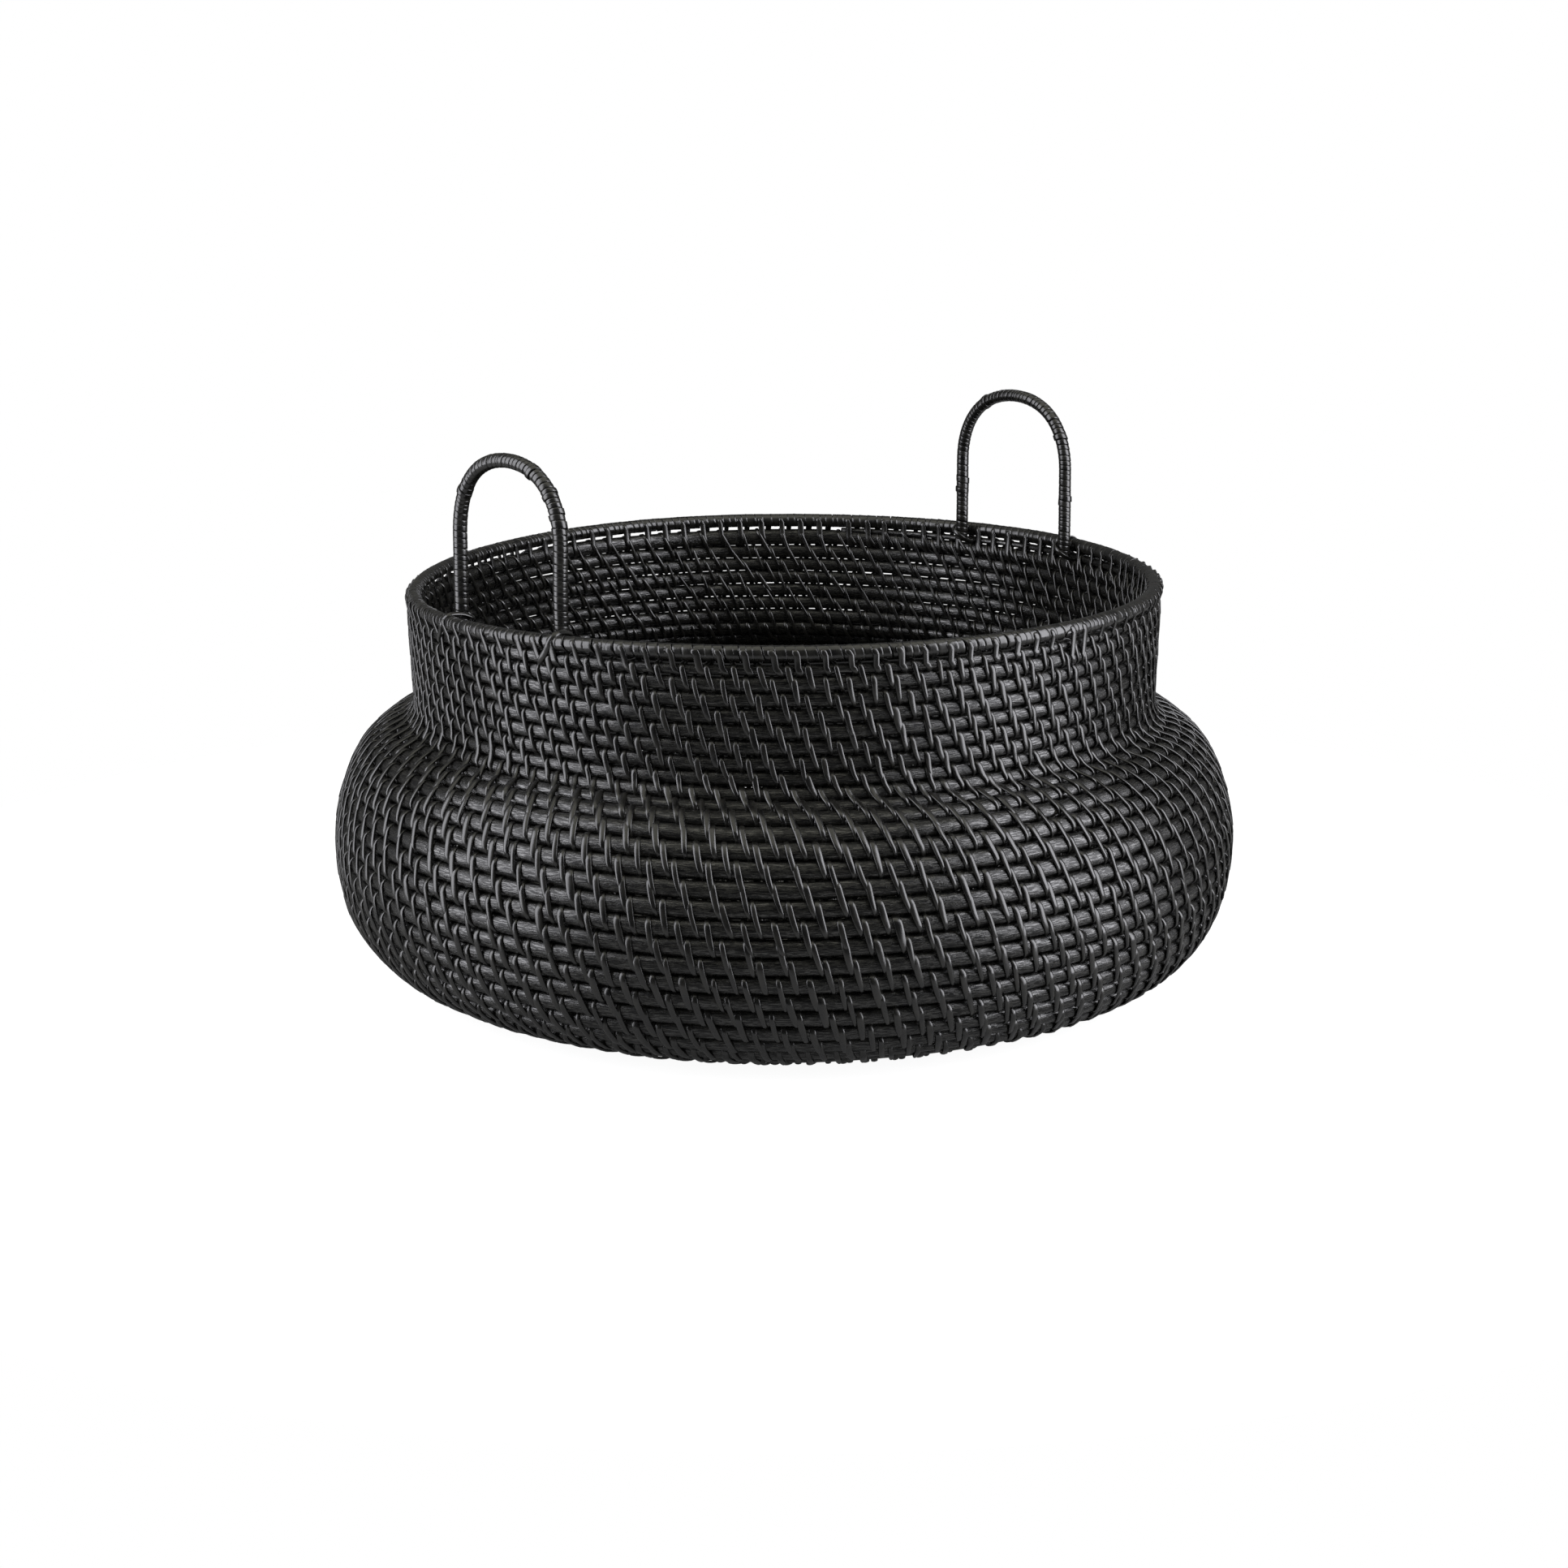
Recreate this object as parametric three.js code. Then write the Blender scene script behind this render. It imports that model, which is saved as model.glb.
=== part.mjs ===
// Round coiled basket of rattan: a flat base, a wide rounded belly, a narrower upright neck and
// two fixed handles. One continuous spiral of cane runs from the middle of the base to the rim;
// it is made of many cane lengths, each shaved to a long slant where it meets the next one.
//
// Millimetres, +Z up. The origin is the middle of the underside, and the base stands on Z = 0.
// The two handles stand on the X axis, their arches square to it.

import * as THREE from 'three';

// ---------------------------------------------------------------- driving dimensions
const bodyCane = 9.8; // foundation cane of the base and the belly
const neckCane = 8.4; // thinner foundation cane of the neck
const rowGap = 0.9; // slit between two turns, which the stitching peel passes through
const clearance = 0.3; // space left between pieces that touch

const baseRadius = 223; // flat bottom, out to the start of the heel
const heelBend = 57.5; // bend radius of the heel
const heelTurn = 71.6; // degrees that the heel turns upward
const bellyBend = 112.3; // bend radius of the belly
const bellyTurn = 41.6; // degrees that the belly turns back inward
const shoulderBend = 55.3; // bend radius of the shoulder
const shoulderTurn = 44.3; // degrees that the shoulder turns further inward
const throatBend = 21.3; // radius of the hollow between shoulder and neck
const neckFlare = 2.1; // degrees that the neck opens outward towards the mouth
const neckHeight = 69.4; // neck, from the throat to the middle of the rim

const curlRadius = 14; // where the spiral starts around the curl in the middle of the base
const baseCaneCount = 4; // lengths of cane in the base
const wallCaneCount = 12; // lengths of cane in the wall
const topCaneLength = 700; // the last of them, which ends under the rim
const spiralEnd = 36; // degrees from +X to the place where the spiral ends under the rim
const spliceLength = 23; // length of the slanted cut at a splice
const spliceGap = 1; // space left along the cane between two cut ends
const tipWidth = 2; // width of the shaved tip that ends the spiral under the rim

const rimCaneDiameter = 6.4; // bare cane inside the rim
const rimOffset = 1; // the rim sits this far outside the middle of the wall
const rimGap = 1.6; // slit under the rim
const rimWraps = 4; // strips of peel that cover the rim, end to end

const handleCaneDiameter = 5.8; // bare cane inside a handle
const handleSpan = 94; // between the middles of a handle's two legs
const handleRise = 103; // top of the arch above the middle of the rim
const wrapThickness = 1; // peel wound over the rim cane and the handle canes

const lashingWidth = 3; // peel strip that ties a handle foot to the rim
const lashingThickness = 1;

const stepsPerTurn = 20; // straight steps in one turn of the spiral and of the rim
const archSteps = 10; // straight steps in a handle's arch
const tubeSides = 8; // sides of the rim and handle sections

// ---------------------------------------------------------------- derived dimensions
const bodyPitch = bodyCane + rowGap;
const neckPitch = neckCane + rowGap;
const rimCaneRadius = rimCaneDiameter / 2;
const handleCaneRadius = handleCaneDiameter / 2;
const wrapBore = clearance; // the peel lies this far off the cane it covers
const rimRadius = rimCaneRadius + wrapBore + wrapThickness;
const handleRadius = handleCaneRadius + wrapBore + wrapThickness;

// ---------------------------------------------------------------- finishes
function rattan(color, roughness) {
  return new THREE.MeshStandardMaterial({ color, roughness, metalness: 0 });
}

const caneFinish = () => rattan(0x1c1c1a, 0.55);
const peelFinish = () => rattan(0x242422, 0.35);

// ---------------------------------------------------------------- wall profile
// The middle of the wall as a chain of arcs, from the middle of the base to the middle of the rim.
// Heading 0 points straight outward and heading 90 degrees straight up.
function profileChain() {
  const bends = [
    { length: baseRadius, turn: 0 },
    { bend: heelBend, turn: heelTurn },
    { bend: bellyBend, turn: bellyTurn },
    { bend: shoulderBend, turn: shoulderTurn },
    { bend: throatBend, turn: 90 - neckFlare - heelTurn - bellyTurn - shoulderTurn },
    { length: neckHeight, turn: 0 },
  ];
  const chain = [];
  let start = { s: 0, r: 0, z: bodyCane / 2, heading: 0 };
  for (const { length, bend, turn } of bends) {
    const angle = THREE.MathUtils.degToRad(turn);
    const arcLength = length ?? bend * Math.abs(angle);
    const arc = { start, length: arcLength, curvature: angle / arcLength };
    chain.push(arc);
    start = pointOnArc(arc, arcLength);
  }
  return chain;
}

function pointOnArc({ start, curvature }, distance) {
  const heading = start.heading + curvature * distance;
  const s = start.s + distance;
  if (curvature === 0) {
    const r = start.r + distance * Math.cos(heading);
    return { s, r, z: start.z + distance * Math.sin(heading), heading };
  }
  const r = start.r + (Math.sin(heading) - Math.sin(start.heading)) / curvature;
  const z = start.z + (Math.cos(start.heading) - Math.cos(heading)) / curvature;
  return { s, r, z, heading };
}

const profile = profileChain();
const profileLength = profile.reduce((sum, arc) => sum + arc.length, 0);

function profileAt(s) {
  const arc = profile.find(({ start, length }) => s <= start.s + length) ?? profile.at(-1);
  return pointOnArc(arc, s - arc.start.s);
}

const [, , , , throat] = profile;
const rimSeat = profileAt(profileLength);
const rimCentre = { radius: rimSeat.r + rimOffset, z: rimSeat.z };

// ---------------------------------------------------------------- solids from rings of points
// Joins rings that have equally many points into one closed solid. A closed row of rings joins its
// last ring to its first; an open one gets a flat cap at each end.
function skin(rings, closed = false) {
  const sides = rings[0].length;
  const last = (rings.length - 1) * sides;
  const index = [];
  for (let i = 0; i < rings.length - (closed ? 0 : 1); i += 1) {
    const near = i * sides;
    const far = ((i + 1) % rings.length) * sides;
    for (let j = 0; j < sides; j += 1) {
      const next = (j + 1) % sides;
      index.push(near + j, near + next, far + next, near + j, far + next, far + j);
    }
  }
  for (let j = 1; j < sides - 1 && !closed; j += 1) {
    index.push(0, j + 1, j, last, last + j, last + j + 1);
  }
  const geometry = new THREE.BufferGeometry().setFromPoints(rings.flat());
  geometry.setIndex(index);
  geometry.computeVertexNormals();
  return geometry;
}

// A hollow sleeve: its outer rings, and then its inner rings on the way back.
function sleeve(outerRings, innerRings) {
  return skin([...outerRings, ...innerRings.toReversed()], true);
}

function cylinderPoint(radius, azimuth, z) {
  return new THREE.Vector3(radius * Math.cos(azimuth), radius * Math.sin(azimuth), z);
}

// A ring of points around a centre, in the plane of the two axes.
function roundRing(centre, axisA, axisB, radius) {
  return Array.from({ length: tubeSides }, (_, j) => {
    const angle = (2 * Math.PI * (j + 0.5)) / tubeSides;
    return centre
      .clone()
      .addScaledVector(axisA, radius * Math.cos(angle))
      .addScaledVector(axisB, radius * Math.sin(angle));
  });
}

// ---------------------------------------------------------------- the spiral of cane
// Every turn of the spiral climbs by one cane and one slit: a thick cane up to the throat, and a
// thin one above it.
const bodySteps = (throat.start.s * stepsPerTurn) / bodyPitch;
const wallTop = profileLength - rimRadius - rimGap;
const firstStep = Math.round((curlRadius * stepsPerTurn) / bodyPitch);
const heelStep = Math.round((baseRadius * stepsPerTurn) / bodyPitch);
const caneCorners = [
  { across: 1, through: 0 },
  { across: 0.5, through: 1 },
  { across: -0.5, through: 1 },
  { across: -1, through: 0 },
  { across: -0.5, through: -1 },
  { across: 0.5, through: -1 },
];

function stepDistance(step) {
  const inBody = Math.min(step, bodySteps);
  return (bodyPitch * inBody + neckPitch * (step - inBody)) / stepsPerTurn;
}

// The cane fills the spiral from half a turn before a step to half a turn after it, less one slit.
function caneSize(step) {
  const halfTurn = stepsPerTurn / 2;
  return stepDistance(step + halfTurn) - stepDistance(step - halfTurn) - rowGap;
}

function lastSpiralStep() {
  const lowerEdge = wallTop - tipWidth;
  const climb = lowerEdge + neckCane / 2 - throat.start.s;
  return Math.round(bodySteps + (climb * stepsPerTurn) / neckPitch);
}

const lastStep = lastSpiralStep();
const stepAngle = (2 * Math.PI) / stepsPerTurn;
const stepAzimuth = (step) => THREE.MathUtils.degToRad(spiralEnd) + (step - lastStep) * stepAngle;

// The six corners of the cane at one step. Under the rim the cane keeps its lower edge against the
// turn below and is shaved down from above, so that the wall ends level.
function caneRing(step) {
  const size = caneSize(step);
  const lower = stepDistance(step) - size / 2;
  const upper = Math.min(stepDistance(step) + size / 2, wallTop);
  const halfWidth = (upper - lower) / 2;
  const halfDepth = (size / 2) * Math.min(1, 0.5 + halfWidth / size);
  const { r, z, heading } = profileAt((upper + lower) / 2);
  return caneCorners.map(({ across, through }) => {
    const along = across * halfWidth;
    const out = through * halfDepth;
    const radius = r + along * Math.cos(heading) + out * Math.sin(heading);
    const height = z + along * Math.sin(heading) - out * Math.cos(heading);
    return cylinderPoint(radius, stepAzimuth(step), height);
  });
}

// The slanted end of a cane, cut through the step that starts here. Side is 1 for the cane that
// ends in this step and -1 for the one that starts in it.
function spliceRing(step, side) {
  const near = caneRing(step);
  const far = caneRing(step + 1);
  return caneCorners.map(({ through }, j) => {
    const length = near[j].distanceTo(far[j]);
    const slant = (through * spliceLength) / 2;
    const fraction = 0.5 + (slant - (side * spliceGap) / 2) / length;
    return near[j].clone().lerp(far[j], fraction);
  });
}

// The length of cane in the step that starts here.
function stepLength(step) {
  return profileAt(stepDistance(step)).r * stepAngle;
}

// The steps at which one cane ends and the next one starts, for a number of canes of one length.
function equalCanes(from, to, canes) {
  const steps = Array.from({ length: to - from }, (_, i) => from + i);
  const caneLength = steps.reduce((sum, step) => sum + stepLength(step), 0) / canes;
  const splices = [];
  let run = 0;
  for (const step of steps) {
    run += stepLength(step);
    if (run >= caneLength * (splices.length + 1)) splices.push(step);
  }
  return splices.slice(0, canes - 1);
}

// The step in which the last cane starts, counted back from the end of the spiral.
function topSplice() {
  let step = lastStep;
  for (let run = 0; run < topCaneLength; run += stepLength(step)) step -= 1;
  return step;
}

function caneBetween(startSplice, endSplice) {
  const rings = [];
  const first = startSplice === null ? firstStep : startSplice + 1;
  const last = endSplice ?? lastStep;
  if (startSplice !== null) rings.push(spliceRing(startSplice, -1));
  for (let step = first; step <= last; step += 1) rings.push(caneRing(step));
  if (endSplice !== null) rings.push(spliceRing(endSplice, 1));
  return skin(rings);
}

// The cane lengths of one stretch of the spiral, numbered from the middle of the base outward.
function spiralCanes(stretch, digits, start, end, splices) {
  const ends = [start, ...splices, end];
  return ends.slice(1).map((endSplice, i) => {
    const number = `${i + 1}`.padStart(digits, '0');
    return piece(`${stretch}_cane_${number}`, caneBetween(ends[i], endSplice), caneFinish());
  });
}

// The tight curl that the spiral starts from: its edge follows the first turn of the cane.
function centreCurl() {
  const outline = [];
  for (let i = 0; i <= stepsPerTurn; i += 1) {
    const step = firstStep + i;
    const radius = stepDistance(step) - bodyCane / 2 - clearance;
    const backOff = i === stepsPerTurn ? clearance / radius : 0;
    const azimuth = stepAzimuth(step) - backOff;
    outline.push(new THREE.Vector2(radius * Math.cos(azimuth), radius * Math.sin(azimuth)));
  }
  const shape = new THREE.Shape(outline);
  const geometry = new THREE.ExtrudeGeometry(shape, { depth: bodyCane, bevelEnabled: false });
  return piece('centre_curl', geometry, caneFinish());
}

// ---------------------------------------------------------------- the rim
function rimRing(azimuth, radius) {
  const outward = cylinderPoint(1, azimuth, 0);
  const centre = cylinderPoint(rimCentre.radius, azimuth, rimCentre.z);
  return roundRing(centre, new THREE.Vector3(0, 0, 1), outward, radius);
}

function rimCane() {
  const rings = Array.from({ length: stepsPerTurn }, (_, i) => rimRing(i * stepAngle, rimCaneRadius));
  return piece('rim_cane', skin(rings, true), caneFinish());
}

// One strip of peel wound over its share of the rim.
function rimWrap(number) {
  const steps = stepsPerTurn / rimWraps;
  const halfGap = clearance / 2 / rimCentre.radius;
  const azimuths = Array.from({ length: steps + 1 }, (_, i) => (number * steps + i) * stepAngle);
  azimuths[0] += halfGap;
  azimuths[steps] -= halfGap;
  const outer = azimuths.map((azimuth) => rimRing(azimuth, rimRadius));
  const inner = azimuths.map((azimuth) => rimRing(azimuth, rimCaneRadius + wrapBore));
  return piece(`rim_wrap_${number + 1}`, sleeve(outer, inner), peelFinish());
}

// ---------------------------------------------------------------- the handles
// A leg stands against the inside of one straight step of the rim.
const legAzimuth = Math.asin(handleSpan / 2 / rimCentre.radius);
const rimStepMiddle = (Math.floor(legAzimuth / stepAngle) + 0.5) * stepAngle;
const rimFromLeg = rimRadius + clearance + handleRadius;
const legInset = rimCentre.radius * Math.cos(stepAngle / 2) - rimFromLeg;
const handlePlane =
  (legInset - (handleSpan / 2) * Math.sin(rimStepMiddle)) / Math.cos(rimStepMiddle);
const footHeight = rimCentre.z - rimRadius;

// The rings of one handle, from the foot at -Y over the arch to the foot at +Y.
function handleRings(radius) {
  const across = new THREE.Vector3(1, 0, 0);
  const archRadius = handleSpan / 2;
  const archCentre = rimCentre.z + handleRise - handleRadius - archRadius;
  const stations = [{ y: -archRadius, z: footHeight, angle: 0 }];
  for (let i = 0; i <= archSteps; i += 1) {
    const angle = (Math.PI * i) / archSteps;
    const y = -archRadius * Math.cos(angle);
    stations.push({ y, z: archCentre + archRadius * Math.sin(angle), angle });
  }
  stations.push({ y: archRadius, z: footHeight, angle: Math.PI });
  return stations.map(({ y, z, angle }) => {
    const inward = new THREE.Vector3(0, Math.cos(angle), -Math.sin(angle));
    return roundRing(new THREE.Vector3(handlePlane, y, z), across, inward, radius);
  });
}

// The strip that ties one foot to the rim. Seen from outside the basket, it comes over the rim on
// the right of the leg, crosses down to the left, goes under the rim and returns behind the leg.
function lashing(side) {
  const half = lashingThickness / 2 + clearance;
  const aroundRim = rimRadius + half;
  const cornerOfRim = aroundRim * 0.8;
  const behindLeg = handleRadius + half;
  const cornerOfLeg = behindLeg * 0.8;
  const onRight = handleRadius + 2 * clearance + lashingWidth / 2;
  const onLeft = -onRight / 2;
  const crossing = (share) => THREE.MathUtils.lerp(onRight, onLeft, share);
  const loop = [
    { out: rimFromLeg, right: onRight, up: aroundRim },
    { out: rimFromLeg + cornerOfRim, right: crossing(1 / 6), up: cornerOfRim },
    { out: rimFromLeg + aroundRim, right: crossing(1 / 2), up: 0 },
    { out: rimFromLeg + cornerOfRim, right: crossing(5 / 6), up: -cornerOfRim },
    { out: rimFromLeg, right: onLeft, up: -aroundRim },
    { out: 0, right: onLeft, up: -aroundRim },
    { out: clearance - behindLeg, right: crossing(8 / 9), up: -aroundRim - clearance },
    { out: -2 * clearance - behindLeg, right: crossing(5 / 6), up: -cornerOfRim },
    { out: -clearance - behindLeg, right: crossing(1 / 2), up: 0 },
    { out: -cornerOfLeg, right: crossing(1 / 10), up: cornerOfRim - clearance },
    { out: 0, right: onRight, up: aroundRim },
  ];
  const outward = cylinderPoint(1, side * rimStepMiddle, 0);
  const right = cylinderPoint(1, side * rimStepMiddle + Math.PI / 2, 0);
  const foot = new THREE.Vector3(handlePlane, (side * handleSpan) / 2, rimCentre.z);
  const centres = loop.map((point) =>
    foot
      .clone()
      .addScaledVector(outward, point.out)
      .addScaledVector(right, point.right)
      .add(new THREE.Vector3(0, 0, point.up)),
  );
  return skin(stripRings(centres, right, lashingWidth, lashingThickness), true);
}

// Rings of a flat strip along a closed loop, its width kept as close to one direction as it can be.
function stripRings(centres, widthAxis, width, thickness) {
  return centres.map((point, i) => {
    const before = centres.at(i - 1);
    const after = centres[(i + 1) % centres.length];
    const along = after.clone().sub(before).normalize();
    const sideways = widthAxis.clone().projectOnPlane(along).normalize();
    const outward = sideways.clone().cross(along);
    return [
      [-1, -1],
      [-1, 1],
      [1, 1],
      [1, -1],
    ].map(([across, out]) =>
      point
        .clone()
        .addScaledVector(sideways, (across * width) / 2)
        .addScaledVector(outward, (out * thickness) / 2),
    );
  });
}

// One handle with its peel and its two lashings, made at +X and turned to its side of the basket.
function handle(name, turn) {
  const cane = skin(handleRings(handleCaneRadius));
  const wrap = sleeve(handleRings(handleRadius), handleRings(handleCaneRadius + wrapBore));
  const group = new THREE.Group();
  group.add(
    piece(`${name}_handle_cane`, cane, caneFinish()),
    piece(`${name}_handle_wrap`, wrap, peelFinish()),
    piece(`${name}_lashing_1`, lashing(-1), peelFinish()),
    piece(`${name}_lashing_2`, lashing(1), peelFinish()),
  );
  group.rotation.z = turn;
  return group;
}

// ---------------------------------------------------------------- assembly
function piece(name, geometry, material) {
  const mesh = new THREE.Mesh(geometry, material);
  mesh.name = name;
  return mesh;
}

const basket = new THREE.Group();
basket.add(centreCurl());
const baseSplices = equalCanes(firstStep, heelStep, baseCaneCount);
const wallSplices = [...equalCanes(heelStep, topSplice(), wallCaneCount - 1), topSplice()];
basket.add(...spiralCanes('base', 1, null, heelStep, baseSplices));
basket.add(...spiralCanes('wall', 2, heelStep, null, wallSplices));
basket.add(rimCane());
for (let number = 0; number < rimWraps; number += 1) basket.add(rimWrap(number));
basket.add(handle('right', 0), handle('left', Math.PI));

export default basket;
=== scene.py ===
"""The look of a black coiled rattan basket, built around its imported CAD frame.

A spiral of cane is bound by one long strand of peel that wraps each turn to the turn below it.
The rim and the two handles are wound closely with the same peel. Lengths are written in
millimetres and become metres where a mesh is made.
"""

import logging
import math
from collections.abc import Callable
from dataclasses import dataclass, field, replace
from enum import Enum
from functools import partial
from typing import NamedTuple

import bpy
import numpy as np
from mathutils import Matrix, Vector


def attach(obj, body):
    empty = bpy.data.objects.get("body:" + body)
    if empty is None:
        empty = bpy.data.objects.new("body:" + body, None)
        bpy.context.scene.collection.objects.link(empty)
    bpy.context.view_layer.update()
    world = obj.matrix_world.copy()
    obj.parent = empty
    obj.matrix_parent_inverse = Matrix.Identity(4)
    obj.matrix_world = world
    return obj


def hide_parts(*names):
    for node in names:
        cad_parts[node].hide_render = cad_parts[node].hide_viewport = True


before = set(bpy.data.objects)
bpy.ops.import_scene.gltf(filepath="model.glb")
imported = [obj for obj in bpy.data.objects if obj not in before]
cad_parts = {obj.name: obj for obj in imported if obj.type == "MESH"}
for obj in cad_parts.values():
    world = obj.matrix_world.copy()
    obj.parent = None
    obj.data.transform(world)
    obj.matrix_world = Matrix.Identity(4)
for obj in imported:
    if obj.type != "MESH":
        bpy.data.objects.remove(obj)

log = logging.getLogger("basket")

MM = 0.001
FULL_TURN = 2 * math.pi
ROOT = "root"

# A tube's points and its fibre coordinates, each as rings by sides by three.
Tube = tuple[np.ndarray, np.ndarray]
# A line's points and the two directions of its section at each of them.
Frames = tuple[np.ndarray, np.ndarray, np.ndarray]
Pair = tuple[float, float]
Colour = tuple[float, float, float]
Socket = bpy.types.NodeSocket

WHITE = (1.0, 1.0, 1.0, 1.0)


class Slot(Enum):
    """Names for two material slots, cane and peel; nothing in this script uses them."""

    CANE = "cane"
    PEEL = "peel"


class Side(Enum):
    """The two ends of the mouth, each with its sign along X."""

    RIGHT = 1
    LEFT = -1


class Weight(Enum):
    """How bold a foot tie is."""

    PLAIN = 1.0
    BOLD = 1.3


# ---------------------------------------------------------------------------- small helpers


def smooth_step(value: np.ndarray) -> np.ndarray:
    """Eases a value from 0 to 1."""
    clipped = np.clip(value, 0.0, 1.0)
    return clipped * clipped * (3 - 2 * clipped)


@dataclass(frozen=True)
class Ease:
    """A soft step from 0 to 1 over one length, or from 1 to 0 where the length is negative."""

    start: float
    length: float

    def at(self, place: np.ndarray) -> np.ndarray:
        """How far the step has come at each place."""
        return smooth_step((place - self.start) / self.length)


@dataclass(frozen=True)
class Wander:
    """A smooth random drift along a length, always the same for the same seed."""

    seed: int
    reach: float
    wavelength: float
    waves: int = 9
    scales: Pair = (0.5, 2.2)

    def at(self, distance: np.ndarray) -> np.ndarray:
        """Drift at each distance.

        Args:
            distance: Distances along the piece, in the wavelength's unit.

        Returns:
            The drift there, mostly within plus and minus the reach.
        """
        rng = np.random.default_rng(self.seed)
        scale = rng.uniform(*self.scales, self.waves)
        phase = rng.uniform(0, FULL_TURN, self.waves)
        total = np.zeros_like(distance, dtype=float)
        for factor, shift in zip(scale, phase):
            total += np.sin(FULL_TURN * distance / (self.wavelength * factor) + shift)
        return self.reach * total / math.sqrt(self.waves)


@dataclass(frozen=True)
class Settling:
    """How the finished basket has settled: its mouth dips a little on one side."""

    azimuth: float = 140.0
    spread: float = 45.0
    depth: float = 6.5
    foot: float = 165.0
    head: float = 243.0

    def settled(self, points: np.ndarray) -> np.ndarray:
        """Lowers points by the dip at their side, from nothing at the throat to all of it at the rim.

        Args:
            points: Points in millimetres.

        Returns:
            The lowered points.
        """
        angle = np.degrees(np.arctan2(points[..., 1], points[..., 0]))
        away = (angle - self.azimuth + 180) % 360 - 180
        share = np.clip((points[..., 2] - self.foot) / (self.head - self.foot), 0, 1)
        lowered = points.copy()
        lowered[..., 2] -= self.depth * share * np.exp(-((away / self.spread) ** 2))
        return lowered


def unit(vectors: np.ndarray) -> np.ndarray:
    """Scales each vector to length one."""
    return vectors / np.linalg.norm(vectors, axis=-1, keepdims=True)


def round_directions(azimuth: np.ndarray) -> tuple[np.ndarray, np.ndarray]:
    """Outward and upward directions at angles round the basket.

    Args:
        azimuth: The angles, in radians.

    Returns:
        The outward and the upward directions, one of each for each angle.
    """
    outward = np.stack([np.cos(azimuth), np.sin(azimuth), np.zeros_like(azimuth)], axis=-1)
    return outward, np.broadcast_to([0.0, 0.0, 1.0], outward.shape)


def arc(
    degrees: np.ndarray, middle: np.ndarray, outward: np.ndarray, across: np.ndarray, deep: np.ndarray
) -> np.ndarray:
    """Points round a cane, in the section of the wall.

    Args:
        degrees: Angles of the points, where 0 faces outward and 90 up the wall.
        middle: Middle of the cane along the profile.
        outward: Middle of the cane outward.
        across: Reach of the points along the profile.
        deep: Their reach outward.

    Returns:
        Distances along the profile, distances outward, and the directions faced in radians.
    """
    facing = np.radians(degrees)
    places = middle + across * np.sin(facing), outward + deep * np.cos(facing)
    return np.stack(np.broadcast_arrays(*places, facing))


def carried(path: np.ndarray, x: np.ndarray, y: np.ndarray, across: np.ndarray, up: np.ndarray) -> Tube:
    """Carries a section along a path.

    Args:
        path: Points of the path.
        x: Places across of the section's corners, as rings by sides.
        y: Their places upward.
        across: Direction of x at each point.
        up: Direction of y at each point.

    Returns:
        The tube.
    """
    points = path[:, None, :] + x[..., None] * across[:, None, :] + y[..., None] * up[:, None, :]
    steps = np.linalg.norm(np.diff(path, axis=0), axis=1)
    length = np.concatenate([[0], steps.cumsum()])
    return points, np.stack([np.broadcast_to(length[:, None], x.shape), x, y], axis=-1)


def round_core(line: Frames, radius: float, sides: int = 12) -> Tube:
    """A round cane along a line.

    Args:
        line: The line's points and section directions.
        radius: Radius of the cane.
        sides: Points round its section.

    Returns:
        The tube.
    """
    middle, first, second = line
    angle = np.linspace(0, FULL_TURN, sides, endpoint=False)
    x = np.broadcast_to(radius * np.cos(angle), (len(middle), sides))
    y = np.broadcast_to(radius * np.sin(angle), x.shape)
    return carried(middle, x, y, first, second)


def tube_faces(rings: int, sides: int, closed: bool) -> np.ndarray:
    """Quads that join a row of rings.

    Args:
        rings: How many rings there are.
        sides: How many points each ring has.
        closed: Whether the last ring joins the first.

    Returns:
        An array of four point numbers for each quad.
    """
    ring = np.arange(rings if closed else rings - 1)[:, None]
    side = np.arange(sides)[None, :]
    after = (ring + 1) % rings
    beside = (side + 1) % sides
    quad = [ring * sides + side, ring * sides + beside, after * sides + beside, after * sides + side]
    return np.stack([np.broadcast_to(q, (len(ring), sides)) for q in quad], axis=-1).reshape(-1, 4)


def tube_mesh(name: str, tubes: list[Tube], closed: bool) -> bpy.types.Mesh:
    """Makes one smooth mesh from tubes, with their fibre coordinates in the attribute "grain".

    Args:
        name: Name of the mesh.
        tubes: The tubes, in millimetres.
        closed: Whether each tube's last ring joins its first; an open tube gets two caps.

    Returns:
        The mesh, in metres.
    """
    points, fibre, loops, starts = [], [], [], []
    offset = 0
    corner = 0
    for tube, marks in tubes:
        rings, sides, _ = tube.shape
        quads = tube_faces(rings, sides, closed) + offset
        loops.append(quads.ravel())
        starts.append(np.arange(len(quads)) * 4 + corner)
        corner += quads.size
        if not closed:
            first = np.arange(sides)[::-1] + offset
            last = np.arange(sides) + offset + (rings - 1) * sides
            loops += [first, last]
            starts += [np.array([corner]), np.array([corner + sides])]
            corner += 2 * sides
        points.append(tube.reshape(-1, 3))
        fibre.append(marks.reshape(-1, 3))
        offset += rings * sides
    mesh = bpy.data.meshes.new(name)
    mesh.vertices.add(offset)
    settled = Settling().settled(np.concatenate(points)) * MM
    mesh.vertices.foreach_set("co", settled.astype(np.float32).ravel())
    mesh.loops.add(corner)
    mesh.loops.foreach_set("vertex_index", np.concatenate(loops).astype(np.int32))
    all_starts = np.concatenate(starts).astype(np.int32)
    mesh.polygons.add(len(all_starts))
    mesh.polygons.foreach_set("loop_start", all_starts)
    mesh.update(calc_edges=True)
    mesh.validate()
    layer = mesh.attributes.new("grain", "FLOAT_VECTOR", "POINT")
    layer.data.foreach_set("vector", (np.concatenate(fibre) * MM).astype(np.float32).ravel())
    mesh.shade_smooth()
    return mesh


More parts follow.
